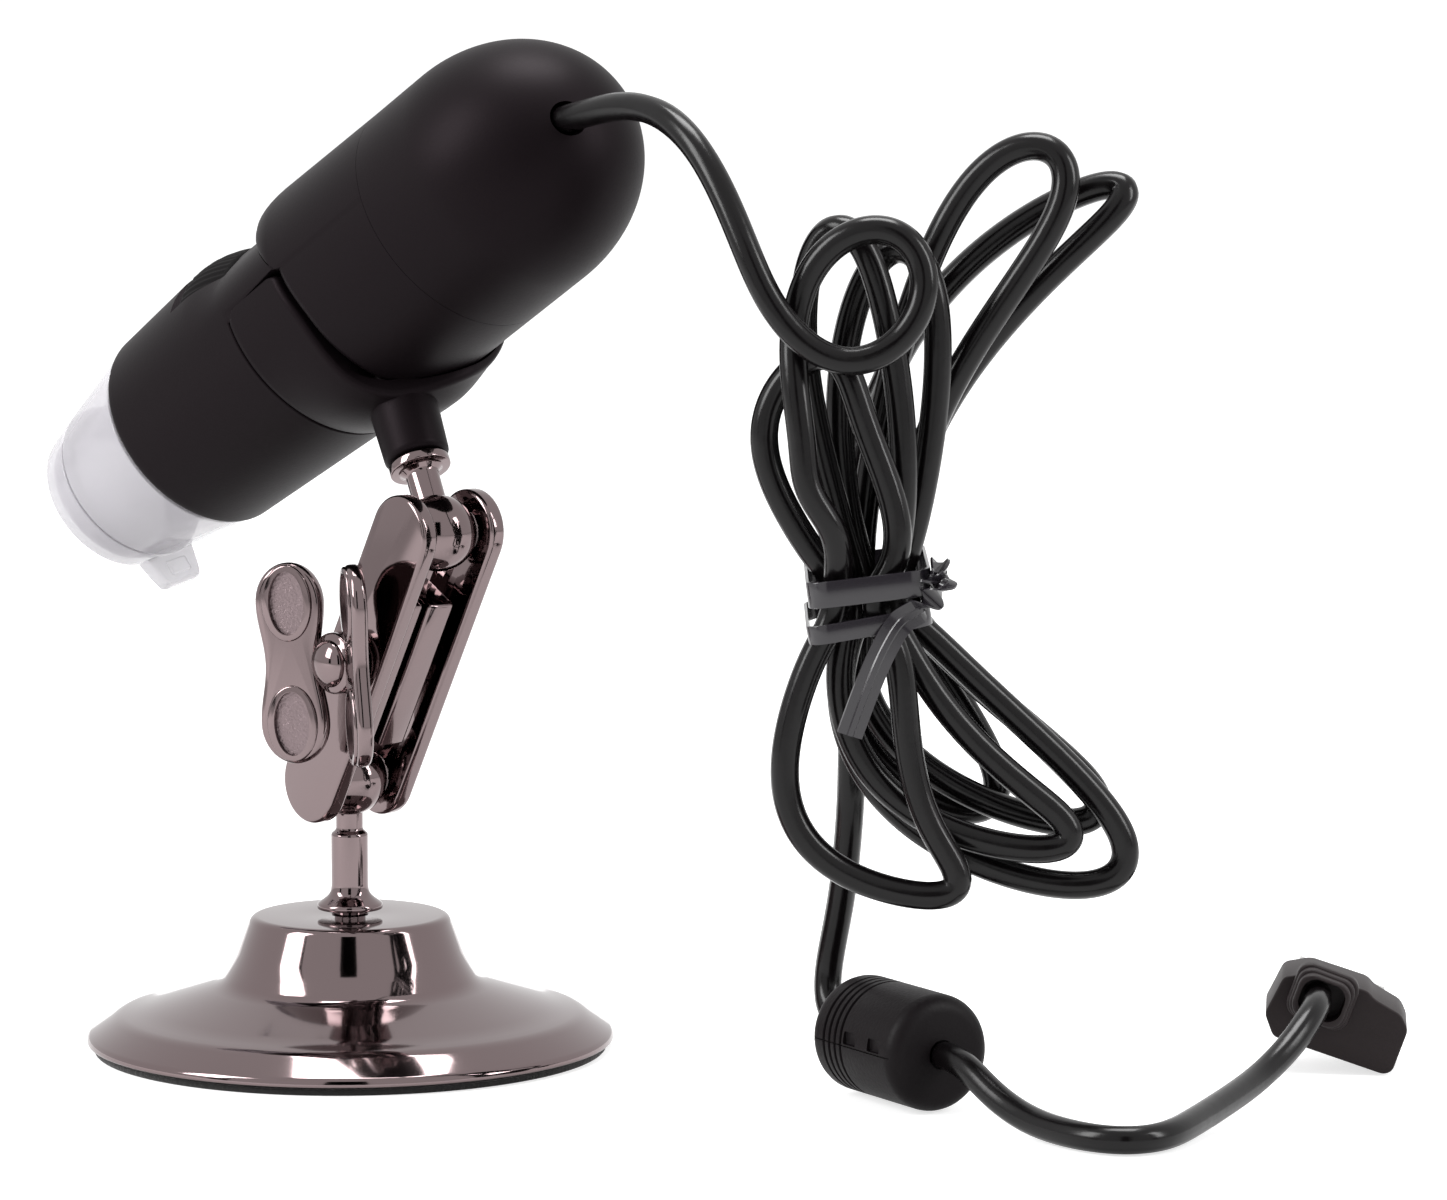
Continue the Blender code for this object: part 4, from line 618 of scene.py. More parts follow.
def tube(name, points, body, *nodes):
    """A round cord along a route in metres."""
    curve = bpy.data.curves.new(name, "CURVE")
    curve.dimensions = "3D"
    curve.bevel_depth = CORD_R
    curve.bevel_resolution = 4
    curve.use_fill_caps = True
    spline = curve.splines.new("POLY")
    spline.points.add(len(points) - 1)
    for point, spot in zip(spline.points, points):
        point.co = (*spot, 1.0)
    spline.use_smooth = True
    curve.materials.append(cord_pvc)
    new = linked(name, curve)
    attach(new, body)
    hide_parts(*nodes)
    return new


def metres(matrix, local_mm):
    """A place in mm on a piece, as a point of the part in metres."""
    return (matrix @ Vector(local_mm)) * MM


# The dome at the tail, and where the cord leaves it
DOME_R = 16.7
DOME_FROM = 29.0
DOME_TALL = 20.1
WALL = 1.5
HOLE_DROP = 3.2
HOLE_SIDE = 5.4
HOLE_BEHIND = DOME_FROM + DOME_TALL * math.sqrt(1 - (HOLE_DROP**2 + HOLE_SIDE**2) / DOME_R**2)
EXIT = HEAD @ place_at(
    (AXIS_HEIGHT - HOLE_DROP, HOLE_SIDE, HOLE_BEHIND), (0, 1, 0), (-0.347, 0.036, 0.937)
)
FERRITE_TURN = math.radians(-58.7)
FERRITE = place_at(
    (72.0, -38.0, 7.8), (0, 0, 1), (math.cos(FERRITE_TURN), math.sin(FERRITE_TURN), 0.0)
)
PLUG_TURN = math.radians(-5.0)
PLUG = place_at(
    (129.4, -20.0, 7.3), (-math.cos(PLUG_TURN), -math.sin(PLUG_TURN), 0.0),
    (-math.sin(PLUG_TURN), math.cos(PLUG_TURN), 0.0),
) @ Matrix.Rotation(math.radians(20.0), 4, "Z")


# How far from the ferrite's middle the cord meets it, and where it has turned in line
FERRITE_END = 10.3
FERRITE_AHEAD = 13.9
# Where the cord enters the plug, across and up
PLUG_ENTRY = (3.6, 2.6)
ROUTE_STEP = 0.0015


def build_cords():
    """The long cord, from the dome to the ferrite, and the short one on to the plug."""
    start = metres(EXIT, (0, 0, -4.1))
    out = metres(EXIT, (0, 0, 1.8))
    into = metres(FERRITE, (0, 0, -FERRITE_END))
    before = metres(FERRITE, (0, 0, -FERRITE_AHEAD))
    route = [start, out] + LEAD_ROUTE + hank_points() + DROP_ROUTE + [before, into]
    main = smooth_route(route, ROUTE_STEP)
    away = metres(FERRITE, (0, 0, FERRITE_END))
    onward = metres(FERRITE, (0, 0, FERRITE_AHEAD))
    near = metres(PLUG, (*PLUG_ENTRY, -9.4))
    entry = metres(PLUG, (*PLUG_ENTRY, -5.8))
    end = smooth_route([away, onward] + TAIL_ROUTE + [near, entry], ROUTE_STEP)

    def reach(points):
        """The length of a route."""
        return sum((b - a).length for a, b in zip(points, points[1:]))

    long_cord = tube("cord_to_ferrite", main, "head", "cord_lead", "cord_hank", "cord_drop")
    short_cord = tube("cord_to_plug", end, "head", "cord_tail")


# Base and post
BALL_R = 5.0


def build_base():
    """The spun cover with its rolled rim, the felt under it, and the post with its ball."""
    shell = eased_corners([
        (34.3, 1.1, 0.15), (35.0, 1.25, 0.3), (34.9, 2.2, 0.5), (30.9, 4.9, 0.9),
        (27.5, 5.6, 1.5), (17.2, 8.9, 1.6), (16.2, 10.4, 1.2), (15.2, 12.2, 1.0),
        (13.1, 17.9, 0.9), (2.35, 17.9, 0.25), (2.35, 17.0, 0.1), (11.1, 17.0, 0.5),
        (15.4, 9.0, 1.0), (16.1, 8.1, 0.8), (30.0, 4.0, 0.5), (33.1, 1.1, 0.1),
    ], 6)
    piece("base_cover", spun(shell, 192), HERE, black_nickel, "base", "base_shell")
    pad = eased_corners([(0.0, 0.0, 0), (34.0, 0.0, 0.25), (34.0, 0.8, 0.25), (0.0, 0.8, 0)], 3)
    piece("base_felt", spun(pad, 128), HERE, felt, "base", "base_pad")
    stud = eased_corners([
        (0.0, 11.9, 0), (2.05, 11.9, 0.2), (2.05, 18.7, 0.1), (4.33, 18.7, 0.2), (4.33, 19.4, 0.3),
        (2.7, 20.6, 0.8), (2.46, 21.6, 0.6), (2.46, 28.8, 0.3), (1.8, 29.3, 0.3), (1.8, 31.5, 0.15),
    ], 5, closed=False)
    stud += arc(0.0, LOWER_BALL.z, BALL_R, -68.9, 90.0, 24)
    stud[-1] = (0.0, LOWER_BALL.z + BALL_R)
    piece("post_stud", spun(stud, 72), HERE, black_nickel, "post", "lower_ball_stud")


# Arm
SEAT_R = BALL_R + 0.3
PIVOT_HOLE_R = 1.9
BAR_LOW = 8.2
BAR_HIGH = 30.6
PIVOT = ARM @ along_x((0, 0, ARM_LEN / 2))


def stadium(half_width, length, count):
    """A long outline with two round ends."""
    low = arc(0.0, 0.0, half_width, 180, 360, count)
    return low + arc(0.0, length, half_width, 0, 180, count)


def ball_shape(radius, count=24):
    """A ball about the origin."""
    profile = arc(0.0, 0.0, radius, -90, 90, count)
    profile[0] = (0.0, -radius)
    profile[-1] = (0.0, radius)
    return spun(profile, 2 * count)


def build_arm():
    """Two clamp plates with ball seats, the bar between them, and the screw across."""
    for name, old, side in (
        ("arm_plate_near", "plate_near", 1), ("arm_plate_far", "plate_far", -1),
    ):
        place = ARM @ place_at((side * 4.5, 0, 0), (0, side, 0), (side, 0, 0))
        plate = piece(
            name, slab(stadium(5.4, ARM_LEN, 24), 2.4, 0.55, 4), place, black_nickel, "arm", old
        )
        if side > 0:
            rib = block((2.3, -4.2, BAR_LOW), (4.7, 4.2, BAR_HIGH), 0.3)
            carve(plate, rib, ARM, "UNION")
        for height in (0.0, ARM_LEN):
            carve(plate, ball_shape(SEAT_R), ARM @ Matrix.Translation((0, 0, height)))
        carve(plate, cylinder(PIVOT_HOLE_R, -8.0, 8.0, 40), PIVOT)
    bar = piece(
        "arm_spacer", block((-2.9, -4.5, BAR_LOW), (1.4, 4.5, BAR_HIGH), 0.5), ARM,
        black_nickel, "arm", "spacer_bar",
    )
    carve(bar, cylinder(PIVOT_HOLE_R, -8.0, 8.0, 40), PIVOT)
    screw = eased_corners([
        (0.0, -9.4, 0), (1.9, -9.35, 0.5), (3.2, -8.7, 0.6), (3.7, -7.8, 0.5), (3.7, -7.2, 0.15),
        (1.6, -7.2, 0.1), (1.6, 10.4, 0.2), (0.0, 10.4, 0),
    ], 5, closed=False)
    piece("clamp_bolt", spun(screw, 64), PIVOT, black_nickel, "arm", "clamp_screw")
    washer = eased_corners([(1.9, 7.2, 0.1), (3.8, 7.2, 0.1), (3.8, 7.7, 0.15), (1.9, 7.7, 0.1)], 3)
    piece("clamp_disc", spun(washer, 64), PIVOT, black_nickel, "arm", "clamp_washer")


WING_HALF_LEN = 13.2
LOBE_OFFSET = 7.9
LOBE_HALF_W = 4.7
WAIST_HALF_W = 3.7
WING_T = 2.1
WING_RISE = math.radians(29.0)
HUB_LOW = 8.0
DIMPLE_DEEP = 0.42
RIM_TALL = 0.35


def wing_outline(count=72):
    """The peanut outline of one wing: two lobes and a waist."""
    points = []
    for i in range(count):
        angle = math.tau * i / count
        along = WING_HALF_LEN * math.sin(angle)
        reach = abs(along)
        if reach > LOBE_OFFSET:
            share = (reach - LOBE_OFFSET) / (WING_HALF_LEN - LOBE_OFFSET)
            half = LOBE_HALF_W * math.sqrt(max(0.0, 1 - share**2))
        else:
            swell = (1 - math.cos(math.pi * reach / LOBE_OFFSET)) / 2
            half = WAIST_HALF_W + (LOBE_HALF_W - WAIST_HALF_W) * swell
        side = 1 if math.cos(angle) > 0 else -1
        if abs(math.cos(angle)) < 0.001:
            half = 0.0
        points.append((side * half, along))
    return points


def build_wing_nut():
    """The hub, and two wings with a raised rim and a blasted floor in each dimple."""
    low = HUB_LOW
    top = low + 2.4
    hub = eased_corners([
        (0.0, low + 2.7, 0), (1.9, low + 2.7, 0.1), (1.9, low, 0.1), (3.6, low, 0.2),
        (4.05, low + 0.4, 0.3), (4.05, top, 0.5), (3.35, top + 0.2, 0.2),
    ], 4, closed=False)
    hub += [
        (3.1 * math.cos(math.pi / 2 * i / 12), top + 0.3 + 1.7 * math.sin(math.pi / 2 * i / 12))
        for i in range(12)
    ]
    hub += [(0.0, top + 2.0)]
    nut = piece("wing_nut_body", spun(hub, 72), WING, black_nickel, "wing_nut", "wing_nut")
    for side in (1, -1):
        out = Vector((side * math.cos(WING_RISE), 0, math.sin(WING_RISE)))
        face = Vector((-side * math.sin(WING_RISE), 0, math.cos(WING_RISE)))
        middle = Vector((side * 2.6, 0, low + 1.2)) + out * LOBE_HALF_W
        wing = slab(wing_outline(), WING_T, 0.75, 4)
        carve(nut, wing, WING @ place_at(middle - face * WING_T / 2, out, face), "UNION")
        for end in (1, -1):
            spot = middle + face * (WING_T / 2 - DIMPLE_DEEP) + Vector((0, end * LOBE_OFFSET, 0))
            oval = [
                (2.5 * math.cos(math.tau * i / 48), 4.2 * math.sin(math.tau * i / 48))
                for i in range(48)
            ]
            seat = WING @ place_at(spot, out, face)
            around = [(x * 1.42, y * 1.20) for x, y in oval]
            rim = slab(around, DIMPLE_DEEP + RIM_TALL, RIM_TALL - 0.01, 4, False)
            carve(nut, rim, seat, "UNION")
            carve(nut, slab(oval, 1.5), seat)
            floor = slab([(x * 0.985, y * 0.99) for x, y in oval], 0.16)
            where = f"{'left' if side < 0 else 'right'}_{'top' if end > 0 else 'bottom'}"
            sunk = seat @ Matrix.Translation((0, 0, -0.04))
            piece(f"wing_pad_{where}", floor, sunk, blasted_nickel, "wing_nut")


def build_upper_stud():
    """The upper ball, its neck and the flange under the clip's boss."""
    stud = arc(0.0, 0.0, BALL_R, -90, 63.9, 24)
    stud[0] = (0.0, -BALL_R)
    stud += eased_corners([
        (2.2, 4.49, 0.1), (2.2, 8.6, 0.3), (2.9, 9.3, 0.2), (4.05, 9.3, 0.2),
        (4.05, 10.5, 0.25), (1.9, 10.5, 0.1), (1.9, 16.5, 0.2), (0.0, 16.5, 0),
    ], 4, closed=False)
    piece("neck_stud", spun(stud, 64), STUD, black_nickel, "stud", "upper_ball_stud")


# Head, along the barrel from its nose to its tail, with z 0 above the upper ball
NOSE = -39.3
BARREL_R = 14.8
CONE_FROM = -38.3
CONE_SLOPE = 0.0557
STEP_R = 16.2
BARREL_END = -11.05
NECK_R = 13.8
BORE_R = 12.4
WINDOW_FLOOR = 14.9
WINDOW_HALF = 62.0
DIP_START = -20.5
DIP_LEN = 7.3
DIP_DEEP = 2.0
VISOR_EDGE = 0.4
VISOR_REACH = 10.9
HALF_WAY = 90.1
MOUTH_R = 14.1


def smooth_step(share):
    """A share from 0 to 1, level at both ends."""
    share = min(max(share, 0.0), 1.0)
    return share * share * (3 - 2 * share)


def dished_r(angle, radius, floor):
    """The barrel's radius at an angle in degrees from the top, where the dip fades out."""
    return radius + (floor - radius) * smooth_step((88.0 - angle) / 45.0)


def dip_r(z):
    """The long curve of the dip, along the top of the barrel."""
    rise = min(max((z - DIP_START) / DIP_LEN, 0.0), 1.0)
    return NECK_R + DIP_DEEP * math.cos(math.pi / 2 * rise)


def cone_wall(z):
    """The barrel's radius, which grows towards the tail."""
    return BARREL_R + CONE_SLOPE * (z - CONE_FROM)


def degrees_from_top(vert):
    """A point's angle about the barrel, from its top."""
    return abs(math.degrees(math.atan2(vert.co.y, vert.co.x)))


def visor_front(angle):
    """How far ahead the shell's front edge reaches, at an angle in degrees from the top."""
    return VISOR_EDGE - VISOR_REACH * math.cos(math.radians(angle))


def build_barrel():
    """The front barrel with its dip and its finger window, up to the visor's curved edge."""
    profile = arc(BARREL_R - 1.0, NOSE + 1.0, 1.0, -90, -5, 8)
    profile += [(BARREL_R + 1.51 * k / 48, CONE_FROM + 27.1 * k / 48) for k in range(1, 49)]
    profile += [(STEP_R, BARREL_END), (NECK_R, BARREL_END), (NECK_R, 3.0), (BORE_R, 3.0)]
    profile += [(BORE_R, -13.8), (14.8, -13.8), (13.4, NOSE)]
    bm = spun(profile, 240)
    # The top half runs on to the visor, and dips in a long curve down to the neck
    for vert in bm.verts:
        angle = degrees_from_top(vert)
        radius = vert.co.xy.length
        if radius > NECK_R - 0.01 and abs(vert.co.z - BARREL_END) < 0.05:
            if angle < HALF_WAY:
                vert.co.z = max(visor_front(angle) - 0.15, -11.0)
                if radius > 16.0:
                    vert.co.xy *= cone_wall(vert.co.z) / radius
            elif angle < 96.0 and radius > 16.0:
                vert.co.z = -8.6
                vert.co.xy *= STEP_R / radius
        radius = vert.co.xy.length
        if angle < 88.0 and radius > BARREL_R + 0.05 and vert.co.z > DIP_START:
            dished = min(radius, dip_r(vert.co.z))
            # Inside the window, which is cut away, the wall stays outside the bore
            if vert.co.z < -13.7 and angle < WINDOW_HALF - 0.5:
                dished = max(dished, WINDOW_FLOOR)
            vert.co.xy *= dished_r(angle, radius, dished) / radius
    barrel = piece("barrel_front", bm, BARREL, soft_touch, "head", "front_barrel")
    window = eased_corners([
        (11.25, -22.2, 0), (17.6, -24.4, 0.3), (17.6, -11.2, 0.3), (11.25, -14.0, 0),
    ], 3)
    sweep = math.radians(2 * WINDOW_HALF)
    carve(barrel, spun(window, 48, sweep, -sweep / 2), BARREL)


WHEEL_LOW = -22.0
WHEEL_HIGH = -14.2
WHEEL_BORE_R = 11.2
WHEEL_RIBS = 72
RIB_DEEP = 0.16


def build_wheel():
    """The ribbed wheel, crowned to follow the dip."""
    low = WHEEL_LOW
    profile = [(WHEEL_BORE_R, low), (15.3, low), (15.5, low + 0.08), (15.65, low + 0.3)]
    crown = [low + 0.6 + 7.0 * k / 28 for k in range(29)]
    profile += [(dip_r(z) - 0.06, z) for z in crown]
    profile += [(dip_r(WHEEL_HIGH) - 0.4, WHEEL_HIGH), (WHEEL_BORE_R, WHEEL_HIGH)]
    bm = spun(profile, WHEEL_RIBS * 4)
    for vert in bm.verts:
        radius = vert.co.xy.length
        if radius > 13.0:
            angle = math.atan2(vert.co.y, vert.co.x)
            depth = RIB_DEEP * (1 - math.cos(angle * WHEEL_RIBS)) / 2
            vert.co.xy *= 1 - depth / radius
    piece("ribbed_wheel", bm, BARREL, wheel_nylon, "focus_wheel", "focus_wheel")


def edge_shift(angle):
    """The groove behind the clip bends forward towards the clip's ends."""
    return 0.9 * smooth_step((120.0 - angle) / 30.0)


CLIP_HALF = 88.5
CLIP_FRONT = -10.9
CLIP_FRONT_R = 16.3
CLIP_SWELL = 2.8
TONGUE_LEN = 7.2
SHELL_R = 17.0
ROW_STEP = 0.4
# Rows that round the rear edge, by how far each lies ahead of it
EDGE_ROWS = (0.8, 0.5, 0.25, 0.08, 0.0)
EDGE_START = 12.0


def clip_rear(angle):
    """The clip's rear edge: level under the barrel, then a tongue back over the tail."""
    top = min(angle, 360.0 - angle)
    tongue = smooth_step((angle - 145.0) / 60.0) * smooth_step((265.0 - angle) / 25.0)
    return 0.95 - edge_shift(top) + TONGUE_LEN * tongue


def clip_r(angle, z):
    """The clip lies flush in front and at its ends, and swells out round the boss."""
    swell = CLIP_SWELL * math.sin(math.pi / 2 * min((z - CLIP_FRONT) / 10.5, 1.0))
    swell -= 1.5 * smooth_step((z - 1.0) / 7.5)
    share = smooth_step((angle - 115.0) / 60.0) * smooth_step((280.0 - angle) / 90.0)
    return CLIP_FRONT_R + 0.033 * (z - CLIP_FRONT) + swell * share


def rounding(left, corner):
    """How far a rounded corner draws an edge in, where so much of its length is left."""
    short = corner - min(left, corner)
    return corner - math.sqrt(max(corner**2 - short**2, 0.0))


def build_clip():
    """The ring round the neck with its tongue, and the boss under it."""
    rows = [CLIP_FRONT + ROW_STEP * k for k in range(57)]
    outside = [(18.0, z) for z in rows] + [(18.0, EDGE_START + i) for i in range(5)]
    inside = [(MOUTH_R, EDGE_START + 4)] + [(MOUTH_R, z) for z in reversed(rows)]
    bm = spun(outside + inside, 236, math.radians(2 * CLIP_HALF), math.radians(180 - CLIP_HALF))
    edge = EDGE_ROWS[0]
    for vert in bm.verts:
        angle = math.degrees(math.atan2(vert.co.y, vert.co.x)) % 360.0
        left = math.radians(CLIP_HALF - abs(angle - 180.0)) * 16.4
        rear = clip_rear(angle) - rounding(left, 1.0)
        radius = vert.co.xy.length
        if radius > 16.0:
            if vert.co.z >= EDGE_START:
                z = rear - EDGE_ROWS[round(vert.co.z - EDGE_START)]
            else:
                z = min(vert.co.z, rear - edge)
            new_r = clip_r(angle, z) - rounding(rear - z, edge) * 0.9
            if z < CLIP_FRONT + 0.1:
                new_r -= 0.12
        else:
            z = min(vert.co.z, rear)
            new_r = MOUTH_R if z < 1.0 else SHELL_R
        vert.co.z = max(z, CLIP_FRONT + rounding(left, 2.0))
        vert.co.xy *= new_r / radius
    piece("clip_ring", bm, BARREL, soft_touch, "head", "holder_clip")
    boss = eased_corners([
        (2.2, 10.8, 0.1), (4.3, 10.8, 0.9), (4.65, 22.9, 0.2), (0.0, 22.9, 0), (0.0, 17.1, 0),
        (2.2, 17.1, 0.1),
    ], 5)
    piece("clip_boss", spun(boss, 72), HEAD @ along_x(), soft_touch, "head")


SHELL_END = 19.14
EDGE_BENDS = 10


def build_tail():
    """The rear shell, with a visor on its top half and a square lip below, dome and button."""
    inner_r = DOME_R - WALL
    square = arc(15.4, 2.8, 1.3, 0, -90, EDGE_BENDS)
    square += [(15.25, 1.5), (inner_r, 1.5), (inner_r, 3.0)]
    bm = spun([(inner_r, SHELL_END), (DOME_R, SHELL_END)] + square, 240)
    order = {(round(r, 2), round(z, 2)): i for i, (r, z) in enumerate(square)}
    for vert in bm.verts:
        radius = vert.co.xy.length
        i = order.get((round(radius, 2), round(vert.co.z, 2)))
        if i is None:
            continue
        angle = degrees_from_top(vert)
        if angle >= HALF_WAY:
            vert.co.z -= edge_shift(angle)
            continue
        front = visor_front(angle)
        low = max(MOUTH_R, dished_r(angle, cone_wall(front), NECK_R))
        if i <= EDGE_BENDS:
            bend = math.pi / 2 * i / EDGE_BENDS
            r, z = low + (16.9 - low) * math.cos(bend), -0.2 + (front + 0.2) * math.sin(bend)
        else:
            r, z = MOUTH_R, (front, front + 0.3, 1.3)[i - EDGE_BENDS - 1]
        vert.co.z = z
        vert.co.xy *= r / radius
    shell = piece("tail_shell", bm, BARREL, soft_touch, "head", "rear_shell")
    turn = math.radians(-30.0)
    out = Vector((math.cos(turn), math.sin(turn), 0))
    button = HEAD @ place_at((AXIS_HEIGHT, 0, 11.6), (0, 0, 1), out)
    carve(shell, cylinder(3.3, 12.0, 18.0), button)

    def oval(radius, tall, share):
        """A point on the dome's round end, at a share of the way from its rim to its top."""
        turned = math.pi / 2 * share
        return (radius * math.cos(turned), DOME_FROM + tall * math.sin(turned))

    cap_low = SHELL_END + 0.06
    inner_tall = DOME_TALL - WALL
    dome = [(DOME_R, cap_low), (DOME_R, DOME_FROM)]
    dome += [oval(DOME_R, DOME_TALL, i / 36) for i in range(1, 36)]
    dome += [(0.0, DOME_FROM + DOME_TALL), (0.0, DOME_FROM + inner_tall)]
    dome += [oval(inner_r, inner_tall, 1 - i / 12) for i in range(1, 12)]
    dome += [(inner_r, DOME_FROM), (inner_r, cap_low)]
    cap = piece("tail_dome", spun(dome, 192), BARREL, soft_touch, "head", "tail_cap")
    carve(cap, cylinder(2.3, -4.0, 4.0, 48), EXIT)

    knob = eased_corners([
        (0.0, 13.6, 0), (3.9, 13.6, 0.1), (3.9, 14.1, 0.1), (3.0, 14.1, 0.1), (3.0, 17.3, 0.5),
        (0.0, 17.5, 0),
    ], 4, closed=False)
    piece("snap_button", spun(knob, 64), button, moulded_abs, "snapshot_button", "snapshot_button")


def build_nozzle():
    """The clear cone, and the clear end cup with its pull tab and mark."""

    def cone_r(z):
        """The cone's outside radius, which shrinks towards its end."""
        return 14.4 - 0.19 * (-39.6 - z)

    profile = eased_corners([
        (cone_r(-58.1) - 1.2, -58.1, 0.2), (cone_r(-53.9) - 1.2, -53.9, 0.1),
        (cone_r(-53.9), -53.9, 0.2), (cone_r(-46.0), -46.0, 1.0), (14.35, -39.6, 0.3),
        (13.1, -39.6, 0.1), (13.1, -36.8, 0.2), (11.9, -36.8, 0.2), (11.9, -39.6, 0.2),
        (cone_r(-53.9) - 2.4, -53.9, 0.4), (cone_r(-58.1) - 2.4, -58.1, 0.2),
    ], 4)
    piece("nozzle_cone", spun(profile, 144), BARREL, clear_acrylic, "head", "clear_nozzle")
    cup = eased_corners([
        (0.0, -59.6, 0), (cone_r(-59.6) - 0.1, -59.6, 0.7), (cone_r(-58.0), -58.0, 0.3),
        (cone_r(-54.2), -54.2, 0.25), (cone_r(-54.2) - 0.9, -54.2, 0.2),
        (cone_r(-58.4) - 0.9, -58.4, 0.2), (0.0, -58.4, 0),
    ], 5, closed=False)
    cap = piece("cap_cup", spun(cup, 144), BARREL, clear_acrylic, "nozzle_cap", "nozzle_cap")
    turn = BARREL @ Matrix.Rotation(math.radians(201.0), 4, "Z")
    root, tip, half = cone_r(-54.2) - 0.45, cone_r(-54.2) + 4.1, 4.9
    outline = eased_corners([
        (root, -half, 0), (tip - 2.0, -half * 0.85, 0.6), (tip, -half * 0.70, 0.9),
        (tip, half * 0.70, 0.9), (tip - 2.0, half * 0.85, 0.6), (root, half, 0),
    ], 5)
    carve(cap, slab(outline, 2.0, 0.5), turn @ Matrix.Translation((0, 0, -56.6)), "UNION")
    mark = block((12.4, -1.95, -55.6), (14.5, 1.95, -54.2), 0.3)
    carve(cap, mark, turn, "UNION")


def dress(look, *names):
    """Gives CAD nodes a finish."""
    for name in names:
        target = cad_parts[name]
        target.data.materials.clear()
        target.data.materials.append(look)


def build_inner():
    """Finishes for the pieces that stay as the source made them."""
    dress(cast_iron, "base_weight")
    dress(black_nickel, "post_nut")
    dress(solder_mask, "light_board", "camera_board", "switch_board")
    dress(lamp_epoxy, *[f"led_{i}" for i in range(1, 9)])
    dress(chip_epoxy, "image_sensor", "button_switch", "plug_tongue")
    dress(ferrite, "ferrite_core")
    dress(moulded_abs, "cord_anchor", "lens_carriage")
    dress(lens_glass, "objective_lens", "rear_lens")
    dress(tin_plate, "plug_shell")


# What is on the cord
def build_ferrite():
    """The ferrite's case, with four grooves, a parting line and two latches a side."""
    corners = arc(5.3, -7.8, 2.2, -90, 0, 8)
    for i in range(4):
        z = -6.5 + i * 1.3
        corners += [(7.5, z), (7.42, z + 0.05), (7.1, z + 0.12), (7.1, z + 0.45)]
        corners += [(7.42, z + 0.52), (7.5, z + 0.57)]
    corners += arc(5.3, 7.8, 2.2, 0, 90, 8)
    corners += [(1.9, 10.0), (1.9, 8.7), (1.4, 8.7), (1.4, -8.7), (1.9, -8.7), (1.9, -10.0)]
    case = piece(
        "ferrite_case", spun(corners, 96), FERRITE, moulded_abs, "head", "ferrite_case_top",
        "ferrite_case_bottom",
    )
    carve(case, block((-0.08, 7.2, -12.0), (0.08, 9.0, 12.0)), FERRITE)
    carve(case, block((-0.08, -9.0, -12.0), (0.08, -7.2, 12.0)), FERRITE)
    for side in (1, -1):
        for z in (-1.6, 4.0):
            low = (0.25, side * 7.9 - 1.0, z)
            carve(case, block(low, (1.9, side * 7.9 + 1.0, z + 2.8), 0.15), FERRITE)


def build_plug():
    """The plug's faceted moulding, with a ridged collar round the cord's opening."""
    outline = [
        (0.59, 0.94), (0.93, 0.58), (1.0, -0.50), (0.77, -1.0), (-0.90, -0.92), (-1.0, -0.76),
        (-1.0, 0.40), (-0.83, 0.72), (-0.40, 0.86), (-0.27, 1.0),
    ]
    outline = eased_corners([(x * 9.1, y * 5.0, 0.7) for x, y in outline], 5)
    plug = piece("plug_moulding", slab(outline, 12.0, 0.6, 4), PLUG, plug_pvc, "head", "plug_body")

    def ring(half_w, half_h, corner=1.9):
        """A rounded oblong, by its half sizes."""
        return rounded_box(half_w - corner, half_h - corner, corner, 8)

    # The collar: three ridges, each a little smaller than the one before
    for grow, start in ((0.0, -2.0), (-0.35, -3.7), (-0.7, -5.5)):
        seat = PLUG @ Matrix.Translation((2.9 - grow * 0.3, 2.5, start))
        carve(plug, slab(ring(4.2 + grow, 3.7 + grow), -start + 0.6, 0.4, 4), seat, "UNION")
    # The cord sits in a deep opening that is wider than the cord on its right
    mouth = PLUG @ Matrix.Translation((3.1, 2.6, -6.0))
    carve(plug, slab(ring(2.9, 2.5), 4.2), mouth)
    stub = PLUG @ Matrix.Translation((*PLUG_ENTRY, 0))
    piece("plug_stub", cylinder(1.75, -5.5, -1.0), stub, cord_pvc, "head")


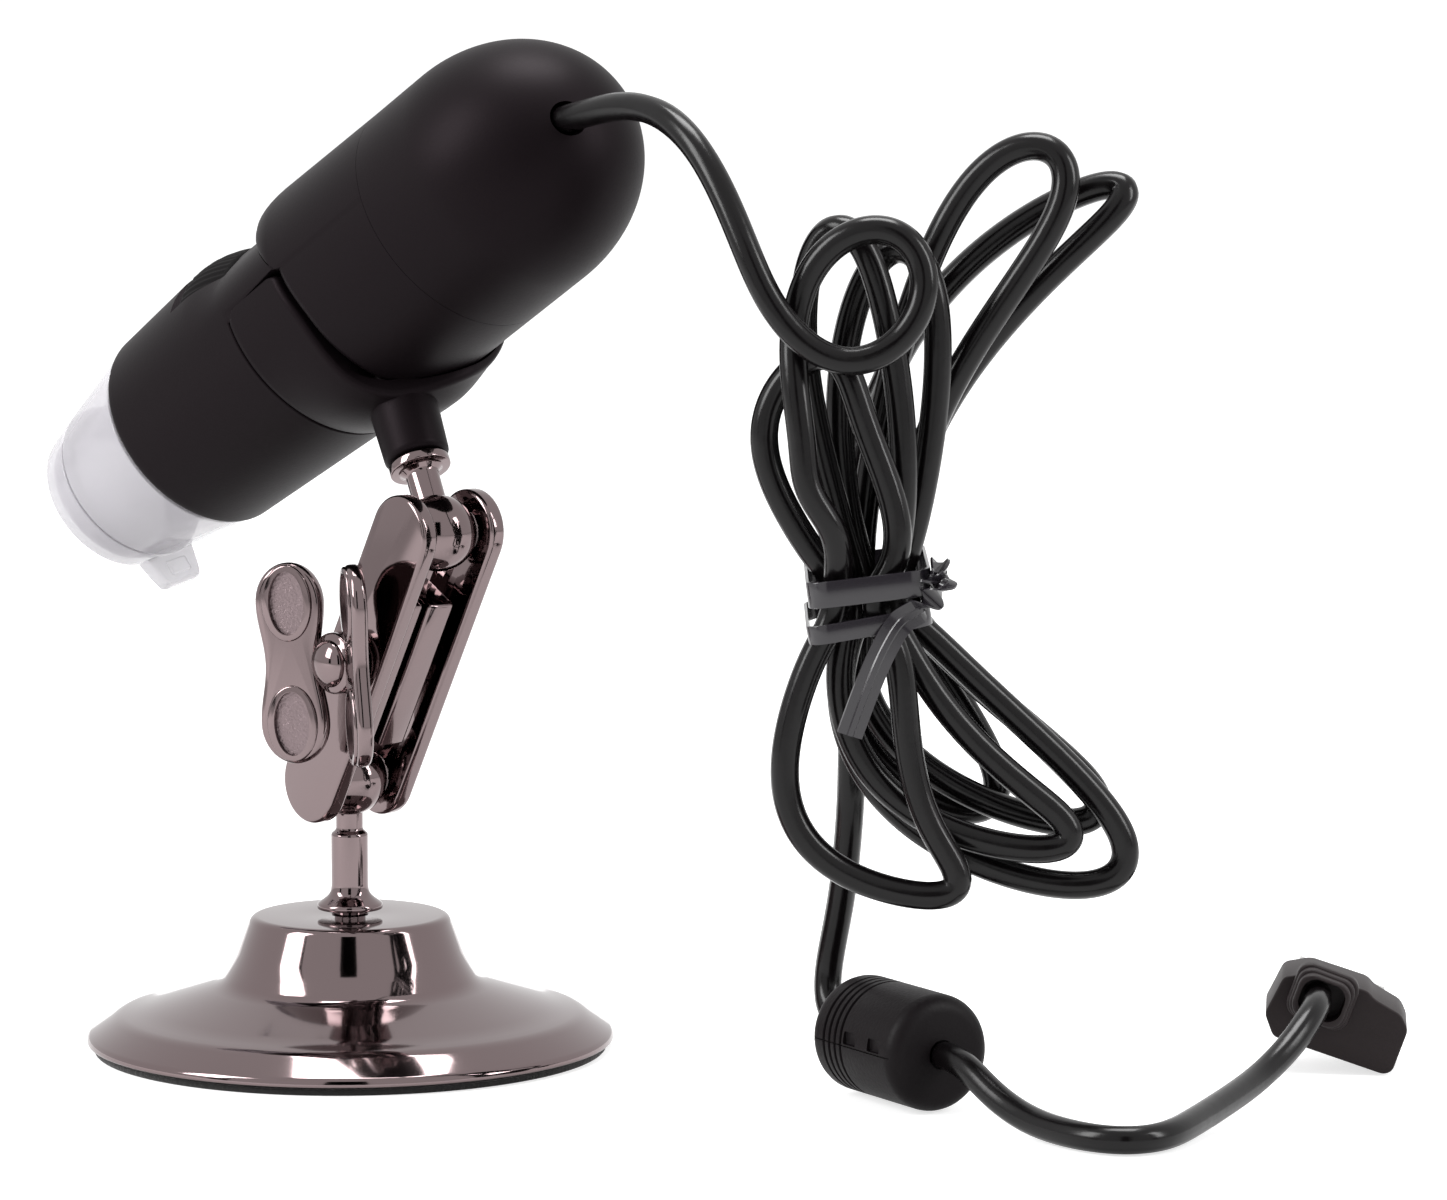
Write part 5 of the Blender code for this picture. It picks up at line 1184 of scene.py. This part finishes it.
def ribbon(path, width, thick, twists):
    """A flat strip along a path; twists gives its turn in degrees at each path point."""
    route = [Vector(p) for p in path]
    steps = 10
    section = ((1, -1), (1, 1), (0.3, 1), (0.2, 1.6), (-0.2, 1.6), (-0.3, 1), (-1, 1), (-1, -1))
    bm = bmesh.new()
    rings = []
    for i in range(len(route) - 1):
        p0, p1, p2, p3 = (route[min(max(k, 0), len(route) - 1)] for k in range(i - 1, i + 3))
        for j in range(steps + (i == len(route) - 2)):
            t = j / steps
            spot = between(p0, p1, p2, p3, t)
            ahead = (p2 - p0).lerp(p3 - p1, t)
            turn = math.radians(twists[i] + (twists[i + 1] - twists[i]) * t)
            place = place_at(spot, (1, 0, 0.1), ahead) @ Matrix.Rotation(turn, 4, "Z")
            rings.append([
                bm.verts.new(place @ Vector((x * width / 2, y * thick / 2, 0)))
                for x, y in section
            ])
    for a, b in zip(rings, rings[1:]):
        for k, vert in enumerate(a):
            after = (k + 1) % len(a)
            bm.faces.new((vert, a[after], b[after], b[k]))
    bm.faces.new(rings[0])
    bm.faces.new(rings[-1])
    return bm


def build_tie():
    """A flat strip wound twice round the waist, twisted at the right, its end hanging down."""
    corner = 2.2
    half_x, half_y = 7.3, 13.55

    def loop(grow):
        """The outline round the strands, that far out from them."""
        return rounded_box(half_x - corner, half_y - corner, corner + grow, 16)

    for name, low, width, tilt, nodes in (
        ("tie_band", 66.4, 3.3, 7.0, ("twist_tie",)), ("tie_band_low", 62.2, 2.4, 10.0, ()),
    ):
        place = Matrix.Translation((67.9, -41.9, low)) @ Matrix.Rotation(
            math.radians(-tilt), 4, "Y"
        )
        band = piece(name, slab(loop(0.5), width, 0.12, 2), place, tie_strip, "head", *nodes)
        carve(band, slab(loop(0.1), 8.0), place @ Matrix.Translation((0, 0, -2.0)))
    path = [
        (74.6, -54.3, 68.2), (76.2, -54.8, 70.6), (77.0, -55.4, 69.2), (75.6, -55.9, 67.0),
        (73.6, -56.3, 65.4), (71.4, -56.6, 63.9), (69.2, -56.7, 60.2), (67.2, -56.5, 55.4),
        (65.2, -56.2, 49.9),
    ]
    turns = (0, 150, 330, 520, 700, 720, 720, 712, 705)
    piece("tie_tail", ribbon(path, 3.3, 0.5, turns), HERE, tie_strip, "head")


build_studio()
build_base()
build_arm()
build_wing_nut()
build_upper_stud()
build_barrel()
build_wheel()
build_clip()
build_tail()
build_nozzle()
build_inner()
build_ferrite()
build_plug()
build_tie()
build_cords()
